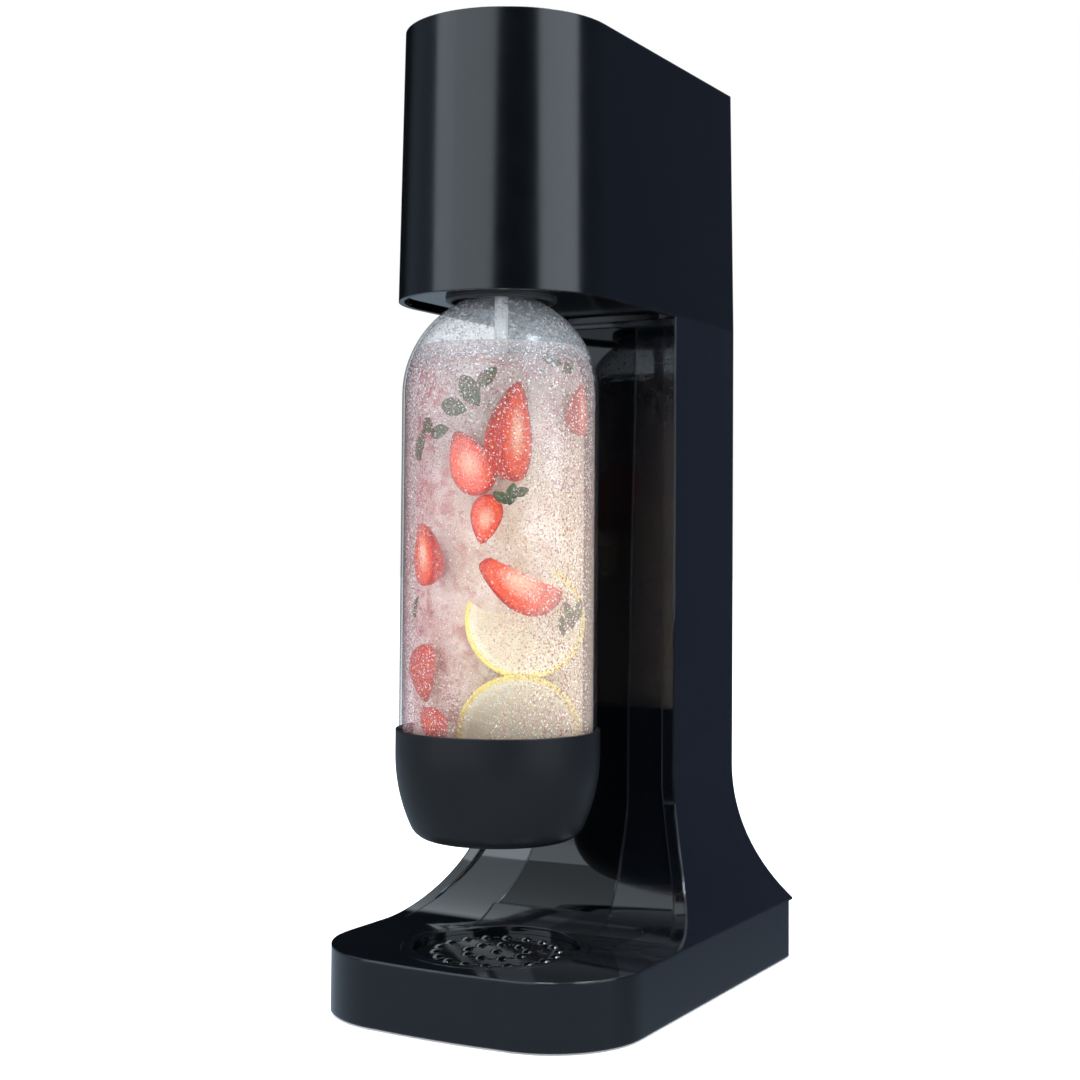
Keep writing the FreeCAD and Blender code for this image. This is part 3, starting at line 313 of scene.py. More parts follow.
@dataclass(frozen=True)
class ClearPlastic(Finish):
    """Thin clear plastic that lets light straight through, with painted shade that darkens it at
    its edges.
    """

    body: Colour
    # see-through colour at grazing angles: painted shade for the dark lines that refraction draws
    # at the bottle's edges
    edge: Colour
    roughness: float = 0.16
    mist: float = 0.22
    mist_low: float = 0.286
    mist_high: float = 0.300
    shine: float = 0.018
    rim_shine: float = 0.55
    fog: Colour = (0.62, 0.64, 0.66)

    def shade(self, board: NodeBoard) -> bpy.types.Node:
        """Return the shader, built from the board's patterns."""
        ripple = board.bump(board.noise(160.0, 2.0), 0.12, 0.0004)
        facing = board.node("LayerWeight", {"Blend": 0.5, "Normal": ripple}).outputs["Facing"]
        # painted shade: the see-through colour turns to the edge colour where the surface is seen
        # edge-on
        haze = board.blend(board.maths("POWER", facing, 6.0), self.body, self.edge)
        through = board.node("BsdfTransparent", {"Color": haze})
        gloss = board.node("BsdfGlossy", {"Color": (1.0, 1.0, 1.0, 1.0),
                                          "Roughness": self.roughness, "Normal": ripple})
        steep = board.maths("MULTIPLY", board.maths("POWER", facing, 5.0), self.rim_shine)
        shine = board.maths("ADD", steep, self.shine)
        height = board.node("SeparateXYZ", {0: board.place()}).outputs[2]
        drops = board.spanned(board.noise(520.0, 4.0), self.mist * 0.4, self.mist, 0.40, 0.60)
        above = board.spanned(height, 0.0, 1.0, self.mist_low, self.mist_high)
        damp = board.maths("MULTIPLY", above, drops)
        fog = board.node("BsdfDiffuse", {"Color": (*self.fog, 1.0)})
        misted = board.node("MixShader", {0: damp, 1: through.outputs[0], 2: fog.outputs[0]})
        shader = board.node("MixShader", {0: shine, 1: misted.outputs[0], 2: gloss.outputs[0]})
        return shader


@dataclass(frozen=True)
class FizzyDrink(Finish):
    """Sparkling drink: partly clear, with clouds and specks of fine bubbles."""

    warm: Colour = (0.72, 0.58, 0.42)
    rosy: Colour = (0.54, 0.22, 0.23)
    cool: Colour = (0.30, 0.25, 0.25)
    clear: float = 0.19
    thick: float = 0.32
    speck: Colour = (0.96, 0.90, 0.88)
    grit: Colour = (0.26, 0.105, 0.115)
    speck_cells: float = 800.0
    grit_cells: float = 1050.0
    dense_grain: float = 0.62
    least_grain: float = 0.10

    def shade(self, board: NodeBoard) -> bpy.types.Node:
        """Return the shader, built from the board's patterns."""
        cloud = board.noise(34.0, 4.0, warp=0.8)
        side = board.node("SeparateXYZ", {0: board.place()}).outputs[0]
        across = board.spanned(side, 0.0, 1.0, -0.036, 0.012)
        height = board.node("SeparateXYZ", {0: board.place()}).outputs[2]
        upper = board.spanned(height, 0.0, 0.75, 0.205, 0.290)
        tinted = board.blend(board.maths("ADD", across, board.spanned(cloud, -0.25, 0.25)),
                             self.rosy, self.warm)
        colour = board.blend(upper, tinted, self.cool)
        specks = board.cells(self.speck_cells)
        fine = board.spanned(specks, 1.0, 0.0, 0.14, 0.36)
        dark = board.spanned(board.noise(self.grit_cells, 3.0), 0.0, 1.0, 0.53, 0.60)
        speckled = board.blend(dark, board.blend(fine, colour, self.speck),
                               self.grit)
        outer = board.maths("ABSOLUTE", board.maths("ADD", side, -0.004))
        edge = board.spanned(outer, 0.0, 1.0, 0.012, 0.040)
        patch = board.spanned(board.noise(30.0, 3.0, warp=0.5), 0.0, 1.0, 0.42, 0.62)
        dense = board.maths("MAXIMUM", board.maths("MAXIMUM", edge, upper),
                            board.maths("MULTIPLY", patch, 0.6))
        facing = board.node("LayerWeight", {"Blend": 0.35}).outputs["Facing"]
        haze = board.maths("ADD", board.maths("MULTIPLY", dense, self.clear),
                           board.maths("MULTIPLY", facing, self.thick))
        grain = board.maths("MULTIPLY", board.maths("MAXIMUM", fine, dark), board.maths(
            "ADD", board.maths("MULTIPLY", dense, self.dense_grain), self.least_grain))
        share = board.maths("MINIMUM", board.maths("ADD", haze, grain), 1.0)
        milky = board.node("BsdfPrincipled", {
            "Base Color": speckled, "Roughness": 0.35, "IOR": 1.33,
            "Normal": board.bump(specks, 0.5, 0.0003)})
        through = board.node("BsdfTransparent", {"Color": (0.98, 0.97, 0.97, 1.0)})
        shader = board.node("MixShader", {0: share, 1: through.outputs[0],
                                          2: milky.outputs[0]})
        return shader


@dataclass(frozen=True)
class BubbleCloud(Finish):
    """Pale depth of the drink, lit through by fine bubbles."""

    warm: Colour = (0.66, 0.54, 0.38)
    rosy: Colour = (0.52, 0.30, 0.30)
    cool: Colour = (0.34, 0.29, 0.285)
    stain: Colour = (0.40, 0.055, 0.060)
    pale: Colour = (0.90, 0.80, 0.74)

    def shade(self, board: NodeBoard) -> bpy.types.Node:
        """Return the shader, built from the board's patterns."""
        cloud = board.noise(45.0, 4.0, warp=1.2)
        parts = board.node("SeparateXYZ", {0: board.place()})
        across = board.spanned(parts.outputs[0], 0.0, 1.0, -0.034, 0.010)
        upper = board.spanned(parts.outputs[2], 0.0, 0.8, 0.215, 0.285)
        base = board.blend(across, self.rosy, self.warm)
        colour = board.blend(upper, base, self.cool)
        pale = board.blend(board.spanned(cloud, 0.0, 0.6, 0.45, 0.75), colour,
                           self.pale)
        leftward = board.spanned(parts.outputs[0], 1.0, 0.25, -0.040, 0.015)
        spots = board.spanned(board.noise(120.0, 5.0, warp=0.9), 0.0, 0.85, 0.52, 0.66)
        mottled = board.blend(board.maths("MULTIPLY", spots, leftward), pale, self.stain)
        shader = board.node("BsdfPrincipled", {
            "Base Color": mottled, "Roughness": 0.7,
            "Normal": board.bump(board.noise(400.0, 3.0), 0.4, 0.0006)})
        return shader


@dataclass(frozen=True)
class WaterBead(Finish):
    """Water beads and bubbles, clear with a bright rim."""

    colour: Colour
    cover: float
    shadow: Colour = (0.26, 0.25, 0.28)

    def shade(self, board: NodeBoard) -> bpy.types.Node:
        """Return the shader, built from the board's patterns."""
        through = board.node("BsdfTransparent", {"Color": (0.9, 0.9, 0.92, 1.0)})
        tone = board.blend(board.spanned(board.noise(300.0), 0.0, 1.0), self.colour,
                           self.shadow)
        bead = board.node("BsdfPrincipled", {"Base Color": tone, "Roughness": 0.08,
                                             "IOR": 1.33, "Specular IOR Level": 1.0})
        facing = board.node("LayerWeight", {"Blend": 0.4}).outputs["Facing"]
        share = board.maths("ADD", board.maths("MULTIPLY", facing, 0.5), self.cover)
        shader = board.node("MixShader", {0: share, 1: through.outputs[0], 2: bead.outputs[0]})
        return shader


@dataclass(frozen=True)
class BerryFlesh(Finish):
    """Cut strawberry: white heart, red under the skin, with fine rays."""

    skin: Colour = (0.46, 0.010, 0.003)
    flesh: Colour = (0.72, 0.065, 0.018)
    heart: Colour = (0.86, 0.50, 0.34)
    seed: Colour = (0.80, 0.50, 0.12)
    seeds: float = 330.0

    def shade(self, board: NodeBoard) -> bpy.types.Node:
        """Return the shader, built from the board's patterns."""
        depth = board.attribute("heart")
        inner = board.blend(board.spanned(depth, 0.0, 1.0, 0.10, 0.62), self.heart, self.flesh)
        colour = board.blend(board.spanned(depth, 0.0, 1.0, 0.80, 0.97), inner, self.skin)
        seeds = board.spanned(board.cells(self.seeds, 0.3), 1.0, 0.0, 0.12, 0.2)
        on_skin = board.maths("MULTIPLY", seeds, board.spanned(depth, 0.0, 0.8, 0.93, 0.99))
        dotted = board.blend(on_skin, colour, self.seed)
        rays = board.noise(500.0, 3.0)
        shader = board.node("BsdfPrincipled", {
            "Base Color": dotted, "Roughness": 0.3, "IOR": 1.36,
            "Subsurface Weight": 0.15, "Subsurface Scale": 0.002,
            "Normal": board.bump(rays, 0.35, 0.0003)})
        return shader


@dataclass(frozen=True)
class CitrusSlice(Finish):
    """Lemon slice: yellow rind, white pith and pale segments."""

    rind: Colour = (0.82, 0.66, 0.20)
    pith: Colour = (0.80, 0.70, 0.50)
    flesh: Colour = (0.70, 0.58, 0.40)
    juice: Colour = (0.80, 0.70, 0.52)
    segments: int = 9

    def shade(self, board: NodeBoard) -> bpy.types.Node:
        """Return the shader, built from the board's patterns."""
        spot = board.node("UVMap", uv_map="slice").outputs["UV"]
        parts = board.node("SeparateXYZ", {0: spot})
        radius = board.node("VectorMath", {0: spot}, operation="LENGTH").outputs["Value"]
        turn = board.maths("ARCTAN2", parts.outputs[1], parts.outputs[0])
        swing = board.maths("SINE", board.maths("MULTIPLY", turn, self.segments / 2))
        wave = board.maths("ABSOLUTE", swing)
        wall = board.spanned(wave, 1.0, 0.0, 0.02, 0.16)
        inside = board.spanned(board.noise(420.0, 3.0), 0.0, 0.5)
        pulp = board.blend(inside, self.flesh, self.juice)
        segment = board.blend(wall, pulp, self.pith)
        ringed = board.blend(board.spanned(radius, 0.0, 1.0, 0.80, 0.85), segment, self.pith)
        colour = board.blend(board.spanned(radius, 0.0, 1.0, 0.90, 0.95), ringed, self.rind)
        shader = board.node("BsdfPrincipled", {
            "Base Color": colour, "Roughness": 0.35, "IOR": 1.36,
            "Subsurface Weight": 0.2, "Subsurface Scale": 0.002,
            "Normal": board.bump(board.noise(600.0, 3.0), 0.3, 0.0003)})
        return shader


@dataclass(frozen=True)
class MintLeaf(Finish):
    """Mint leaf with a pale midrib and side veins."""

    blade: Colour = (0.014, 0.040, 0.004)
    vein: Colour = (0.11, 0.17, 0.04)
    light: Colour = (0.036, 0.080, 0.010)
    side_veins: float = 16.0

    def shade(self, board: NodeBoard) -> bpy.types.Node:
        """Return the shader, built from the board's patterns."""
        spot = board.node("UVMap", uv_map="blade").outputs["UV"]
        parts = board.node("SeparateXYZ", {0: spot})
        out = board.maths("ABSOLUTE", parts.outputs[0])
        slant = board.maths("SUBTRACT", board.maths("MULTIPLY", parts.outputs[1], self.side_veins),
                            board.maths("MULTIPLY", out, 9.0))
        side = board.maths("ABSOLUTE", board.maths("SINE", slant))
        lines = board.maths("MAXIMUM", board.spanned(side, 0.8, 0.0, 0.0, 0.22),
                            board.spanned(out, 1.0, 0.0, 0.02, 0.08))
        mottle = board.spanned(board.noise(260.0, 3.0), 0.0, 1.0)
        blade = board.blend(mottle, self.blade, self.light)
        shader = board.node("BsdfPrincipled", {
            "Base Color": board.blend(lines, blade, self.vein), "Roughness": 0.42,
            "Normal": board.bump(lines, 0.6, 0.0004)})
        return shader


@dataclass(frozen=True)
class StudioPaper(Finish):
    """Plain pale surface that the machine stands on."""

    colour: Colour = (0.93, 0.93, 0.94)
    mottle: Colour = (0.91, 0.91, 0.92)
    glow: float = 0.30

    def shade(self, board: NodeBoard) -> bpy.types.Node:
        """Return the shader, built from the board's patterns."""
        tone = board.blend(board.spanned(board.noise(6.0, 3.0), 0.0, 0.3), self.colour,
                           self.mottle)
        shader = board.node("BsdfPrincipled", {"Base Color": tone, "Roughness": 0.85,
                                               "Emission Color": (1.0, 1.0, 1.0, 1.0),
                                               "Emission Strength": self.glow})
        return shader


GLOSS = MouldedPlastic("gloss black housing", (0.0012, 0.0016, 0.0026),
                       (0.0018, 0.0022, 0.0034), 0.07, 0.025, grain_strength=0.02, coat=0.3,
                       edge=0.0018)
MIRROR = MouldedPlastic("mirror black panel", (0.0006, 0.0008, 0.0011),
                        (0.0009, 0.0011, 0.0015), 0.035, 0.012, grain_strength=0.012,
                        edge=0.0004, ior=1.36)
SATIN = MouldedPlastic("satin black head", (0.0005, 0.0008, 0.0014),
                       (0.0008, 0.0012, 0.0019), 0.20, 0.02, grain=1600.0,
                       grain_strength=0.05)
BUTTON = MouldedPlastic("satin black button", (0.0040, 0.0050, 0.0075),
                        (0.0055, 0.0065, 0.0090), 0.30, 0.03, grain=1600.0,
                        grain_strength=0.08)
TRIM = MouldedPlastic("dark trim", (0.010, 0.010, 0.012), (0.016, 0.016, 0.018), 0.38, 0.05)
MATT = MouldedPlastic("matt black moulding", (0.014, 0.014, 0.016), (0.022, 0.022, 0.024),
                      0.6, 0.08, grain=700.0, grain_depth=0.00006, grain_strength=0.3)
CUP = MouldedPlastic("satin black bottle cup", (0.0042, 0.0044, 0.0055),
                     (0.0060, 0.0062, 0.0075), 0.34, 0.04, grain=1300.0,
                     grain_strength=0.10, edge=0.0008, ior=1.34)
CHASSIS = MouldedPlastic("grey chassis plastic", (0.075, 0.075, 0.080),
                         (0.105, 0.105, 0.110), 0.5, 0.06, grain=600.0,
                         grain_depth=0.00006, grain_strength=0.3)
RUBBER = MouldedPlastic("black rubber", (0.018, 0.018, 0.018), (0.030, 0.030, 0.030),
                        0.8, 0.1, grain=500.0, grain_depth=0.0001, grain_strength=0.4)
PALE = MouldedPlastic("pale moulded plastic", (0.72, 0.72, 0.70), (0.80, 0.80, 0.78),
                      0.35, 0.05)
TUBE = MouldedPlastic("milky tube", (0.70, 0.70, 0.66), (0.80, 0.80, 0.76), 0.3, 0.05)
TRAY = MouldedPlastic("gloss black tray", (0.0018, 0.0022, 0.0032),
                      (0.0026, 0.0030, 0.0042), 0.10, 0.03, grain_strength=0.03,
                      edge=0.0005)
GRATE = MouldedPlastic("gloss black grate", (0.0014, 0.0015, 0.0019),
                       (0.0022, 0.0024, 0.0030), 0.09, 0.03, grain_strength=0.03,
                       edge=0.0003, ior=2.0)
CYLINDER = MouldedPlastic("grey cylinder paint", (0.30, 0.32, 0.35), (0.36, 0.38, 0.41),
                          0.3, 0.05, grain=800.0, grain_strength=0.15)
STEEL = WorkedMetal("bright steel", (0.62, 0.62, 0.63), (0.50, 0.50, 0.52), 0.25)
PRESSED = WorkedMetal("pressed steel lever", (0.48, 0.48, 0.50), (0.38, 0.38, 0.40), 0.36,
                      Spread.ROUND)
BRASS = WorkedMetal("machined brass", (0.76, 0.57, 0.27), (0.62, 0.45, 0.20), 0.24,
                    Spread.LEVEL)
# the second colour is the painted shade at the bottle's edges
CLEAR = ClearPlastic("clear bottle plastic", (0.97, 0.975, 0.98), (0.30, 0.32, 0.34))
DRINK = FizzyDrink("sparkling drink")
CLOUD = BubbleCloud("cloud of fine bubbles")
BUBBLE = WaterBead("gas bubbles", (0.96, 0.92, 0.92), 0.50)
BEAD = WaterBead("condensed water", (0.78, 0.79, 0.82), 0.30)
BERRY = BerryFlesh("cut strawberry")
LEMON = CitrusSlice("lemon slice")
MINT = MintLeaf("mint leaf")
PAPER = StudioPaper("studio floor")


# ---------------------------------------------------------------- mesh building


def publish(work: bmesh.types.BMesh, name: str, body: str, finish: Finish,
            smooth: bool = True) -> bpy.types.Object:
    """Make an object of a finished mesh and let it ride on its body.

    Args:
        work: The mesh, in place in the row frame.
        name: Name of the piece.
        body: Body that it moves with.
        finish: Finish that gives its material.
        smooth: Whether its faces are shaded smooth.

    Returns:
        The new object.
    """
    for face in work.faces:
        face.smooth = smooth
    mesh = bpy.data.meshes.new(name)
    work.to_mesh(mesh)
    work.free()
    piece = bpy.data.objects.new(name, mesh)
    bpy.context.scene.collection.objects.link(piece)
    piece.data.materials.append(finish.material())
    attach(piece, body)
    LOG.info("%s rides on %s with %d faces", name, body, len(mesh.polygons))
    return piece


def dress(finish: Finish, *nodes: str) -> None:
    """Give CAD nodes a finish.

    Args:
        finish: Finish that gives the material.
        nodes: Names of the nodes.
    """
    for node in nodes:
        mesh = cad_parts[node].data
        mesh.materials.clear()
        mesh.materials.append(finish.material())
        LOG.info("%s wears %s", node, finish.name)


def turned(profile: list[tuple[float, float]], centre: Vector, steps: int) -> bmesh.types.BMesh:
    """Turn a short profile of (radius, height) points about an upright axis.

    Args:
        profile: Points from the lower end of the axis to its upper end.
        centre: A point on the axis.
        steps: Steps of the turn.

    Returns:
        The closed mesh.
    """
    work = bmesh.new()
    points = [work.verts.new((centre.x + r, centre.y, z)) for r, z in profile]
    edges = [work.edges.new(pair) for pair in zip(points, points[1:])]
    bmesh.ops.spin(work, geom=points + edges, cent=centre, axis=(0, 0, 1),
                   angle=math.tau, steps=steps, use_merge=True)
    bmesh.ops.remove_doubles(work, verts=work.verts, dist=1e-6)
    bmesh.ops.recalc_face_normals(work, faces=work.faces)
    return work


@dataclass
class BottleFrame:
    """Places inside the bottle, given from its axis and from its front quarter."""

    turn: float = math.radians(30.0)
    low: Vector = field(default_factory=lambda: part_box("bottle")[0])
    high: Vector = field(default_factory=lambda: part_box("bottle")[1])

    @property
    def axis(self) -> Vector:
        """Foot of the bottle's axis."""
        middle = (self.low + self.high) / 2
        return Vector((middle.x, middle.y, self.low.z))

    @property
    def radius(self) -> float:
        """Outer radius of the bottle."""
        return (self.high.x - self.low.x) / 2

    def spot(self, side: float, ahead: float, rise: float, spin: float = 0.0,
             nod: float = 0.0, sway: float = 0.0) -> Matrix:
        """Return the placement of a piece that faces the front quarter.

        Args:
            side: Way to the right of the axis.
            ahead: Way in front of the axis.
            rise: Height above the bottle's foot.
            spin: Turn in the facing plane, in degrees.
            nod: Turn about the sideways axis, in degrees.
            sway: Turn about the upright axis, in degrees.

        Returns:
            A matrix whose X is sideways, Y is up and Z is to the front.
        """
        across = Vector((math.cos(self.turn), math.sin(self.turn), 0.0))
        front = Vector((math.sin(self.turn), -math.cos(self.turn), 0.0))
        basis = Matrix((across, Vector((0, 0, 1)), front)).transposed().to_4x4()
        place = self.axis + across * side + front * ahead + Vector((0, 0, rise))
        turns = (Matrix.Rotation(math.radians(sway), 4, "Y")
                 @ Matrix.Rotation(math.radians(nod), 4, "X")
                 @ Matrix.Rotation(math.radians(spin), 4, "Z"))
        return Matrix.Translation(place) @ basis @ turns


# ---------------------------------------------------------------- sub-assemblies


@dataclass
class Body:
    """Housing, base and covers."""

    def build(self) -> None:
        """Dress the moulded outside and the parts under it."""
        dress(GLOSS, "housing", "rear_cover")
        dress(MIRROR, "front_panel")
        dress(MATT, "base_plate")
        dress(RUBBER, "foot_pads")
        dress(STEEL, "base_screws", "frame_screws")


@dataclass
class Head:
    """Head casing with its lid, button and underside."""

    def build(self) -> None:
        """Dress the head's parts."""
        dress(SATIN, "head_shell", "top_plate")
        dress(BUTTON, "press_button")
        dress(MIRROR, "underside_plate")
        dress(TRIM, "neck_collar")


@dataclass
class Mechanism:
    """Gas cylinder, valve, lever, chassis and carbonation head."""

    def build(self) -> None:
        """Dress the working parts."""
        dress(CHASSIS, "mech_frame", "cylinder_cradle")
        dress(CYLINDER, "gas_cylinder")
        dress(BRASS, "cylinder_valve", "valve_block", "tube_nuts", "relief_body", "relief_cap")
        dress(STEEL, "valve_pin", "valve_plunger", "lever_pin")
        dress(PRESSED, "valve_lever")
        dress(RUBBER, "cylinder_seal", "bottle_seal")
        dress(TUBE, "gas_tube")
        dress(TRIM, "carbonation_head")
        dress(PALE, "nozzle_tube", "nozzle_tip", "relief_poppet")


@dataclass
class Springs:
    """Coil springs, wound from round wire."""

    segments: int = 24
    sides: int = 8

    def build(self) -> None:
        """Wind each spring in the room that the mechanism leaves for it."""
        self.coil("button_return_spring", "button_spring", 5, 0.7 * MM)
        self.coil("relief_valve_spring", "relief_spring", 5, 0.5 * MM)

    def coil(self, name: str, node: str, turns: int, wire: float) -> None:
        """Wind one spring from round wire.

        Args:
            name: Name of the piece.
            node: The solid that it stands for.
            turns: Number of turns.
            wire: Radius of the wire.
        """
        low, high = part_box(node)
        ahead = (low.y + high.y) / 2
        mean = (high.y - low.y) / 2 - wire
        rise = high.z - low.z - 2 * wire
        work = bmesh.new()
        start = Matrix.Translation((mean, ahead, low.z + wire)) @ Matrix.Rotation(
            math.pi / 2, 4, "X")
        bmesh.ops.create_circle(work, segments=self.sides, radius=wire, matrix=start)
        steps = turns * self.segments
        bmesh.ops.spin(work, geom=[*work.verts, *work.edges], cent=(0.0, ahead, 0.0),
                       axis=(0.0, 0.0, 1.0), dvec=(0.0, 0.0, rise / steps),
                       angle=math.tau * turns, steps=steps, use_merge=False)
        bmesh.ops.holes_fill(work, edges=work.edges[:], sides=self.sides)
        bmesh.ops.recalc_face_normals(work, faces=work.faces)
        piece = publish(work, name, "machine", STEEL)
        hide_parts(node)
        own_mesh(piece)


@dataclass
class DripTray:
    """Drip tray and its grate."""

    def build(self) -> None:
        """Dress the tray and the grate."""
        dress(TRAY, "drip_tray")
        dress(GRATE, "drip_grate")


@dataclass
class Bottle:
    """Clear bottle, its cup and the sparkling drink in it."""

    inside: BottleFrame
    wall: float = 1.8 * MM
    foot: float = 28.0 * MM
    head_space: float = 41.5 * MM
    cloud_inset: float = 11.0 * MM
    cloud_wide: float = 1.22
    cloud_deep: float = 0.78
    cloud_back: float = 10.0 * MM
    dome_swell: float = 3.0 * MM
    neck_height: float = 317.4 * MM
    neck_radius: float = 15.0 * MM
    bubbles: int = 3200
    bubble_sizes: tuple[float, float] = (0.16 * MM, 0.42 * MM)
    beads: int = 1300
    bead_sizes: tuple[float, float] = (0.25 * MM, 0.75 * MM)
    seed: int = 7

    def build(self) -> None:
        """Dress the bottle and fill it."""
        dress(CLEAR, "bottle")
        dress(CUP, "bottle_cup")
        self.drink("drink", DRINK, 0.0)
        self.drink("bubble_cloud", CLOUD, self.cloud_inset, self.cloud_shape())
        self.gas_bubbles()
        self.water_beads()

    def shoulder(self, height: float) -> float:
        """Return the outer radius of the bottle's shoulder at a height."""
        dome = self.inside.radius + self.dome_swell
        centre = self.neck_height - math.sqrt(
            dome ** 2 - (self.neck_radius + self.dome_swell) ** 2)
        if height <= centre:
            return self.inside.radius
        return math.sqrt(max(dome ** 2 - (height - centre) ** 2, 0.0)) - self.dome_swell

    def cloud_shape(self) -> Matrix:
        """Return how the bubble cloud is widened and set back from the front quarter."""
        seat = self.inside.spot(0.0, -self.cloud_back, 0.0)
        centre = self.inside.spot(0.0, 0.0, 0.0)
        stretch = Matrix.Diagonal((self.cloud_wide, 1.0, self.cloud_deep, 1.0))
        return seat @ stretch @ centre.inverted()

    def drink(self, name: str, finish: Finish, inset: float,
              shape: Matrix | None = None) -> None:
        """Fill the bottle with a turned body.

        Args:
            name: Name of the piece.
            finish: Its finish.
            inset: How far it stays inside the bottle's wall.
            shape: How the turned body is reshaped.
        """
        gap = self.wall + inset
        low, top = self.inside.low.z, self.inside.high.z - self.head_space - inset * 0.3
        wide = self.inside.radius - gap
        foot = self.foot - gap
        bend = [(wide - foot + foot * math.sin(a), low + gap + foot - foot * math.cos(a))
                for a in (0.0, 0.4, 0.8, 1.2)]
        sides = [(wide, low + self.foot), (wide, low + 0.10), (wide, low + 0.15),
                 (wide, low + 0.19)]
        heights = [top - 14 * MM, top - 8 * MM, top - 3 * MM]
        crown = [(self.shoulder(z) - gap, z) for z in heights]
        last = self.shoulder(top) - gap
        profile = [(0.0, low + gap)] + bend + sides + crown
        profile += [(last, top - 0.6 * MM), (last - 0.8 * MM, top), (0.0, top)]
        work = turned(profile, self.inside.axis, 96)
        bmesh.ops.transform(work, verts=work.verts, matrix=shape or Matrix())
        publish(work, name, "bottle", finish)

    def scatter(self, work: bmesh.types.BMesh, place: Vector, size: float,
                flat: Vector | None = None) -> None:
        """Add one small round bead to a mesh.

        Args:
            work: Mesh that collects the beads.
            place: Middle of the bead.
            size: Its radius.
            flat: Direction in which the bead is flattened.
        """
        where = Matrix.Translation(place)
        if flat is not None:
            where = where @ flat.to_track_quat("Z", "Y").to_matrix().to_4x4()
            where = where @ Matrix.Diagonal((1.0, 1.0, 0.5, 1.0))
        bmesh.ops.create_icosphere(work, subdivisions=1, radius=size, matrix=where)

    def gas_bubbles(self) -> None:
        """Scatter gas bubbles on the inside of the bottle's wall."""
        chance = random.Random(self.seed)
        work = bmesh.new()
        axis, top = self.inside.axis, self.inside.high.z - self.head_space
        for _ in range(self.bubbles):
            height = chance.uniform(self.inside.low.z + 44 * MM, top - 2 * MM)
            turn = chance.uniform(0.0, math.tau)
            reach = self.shoulder(height) - self.wall - 0.05 * MM
            out = Vector((math.cos(turn), math.sin(turn), 0.0))
            size = chance.uniform(*self.bubble_sizes)
            self.scatter(work, Vector((axis.x, axis.y, height)) + out * reach, size)
        publish(work, "gas_bubbles", "bottle", BUBBLE)

    def water_beads(self) -> None:
        """Scatter condensed water over the shoulder, above the drink."""
        chance = random.Random(self.seed + 1)
        work = bmesh.new()
        axis, top = self.inside.axis, self.inside.high.z - self.head_space
        for _ in range(self.beads):
            height = chance.uniform(top - 14 * MM, top + 19 * MM)
            turn = chance.uniform(0.0, math.tau)
            reach = self.shoulder(height) - 1.25 * MM
            out = Vector((math.cos(turn), math.sin(turn), 0.35))
            place = Vector((axis.x + math.cos(turn) * reach, axis.y + math.sin(turn) * reach,
                            height))
            self.scatter(work, place, chance.uniform(*self.bead_sizes), out.normalized())
        publish(work, "water_beads", "bottle", BEAD)


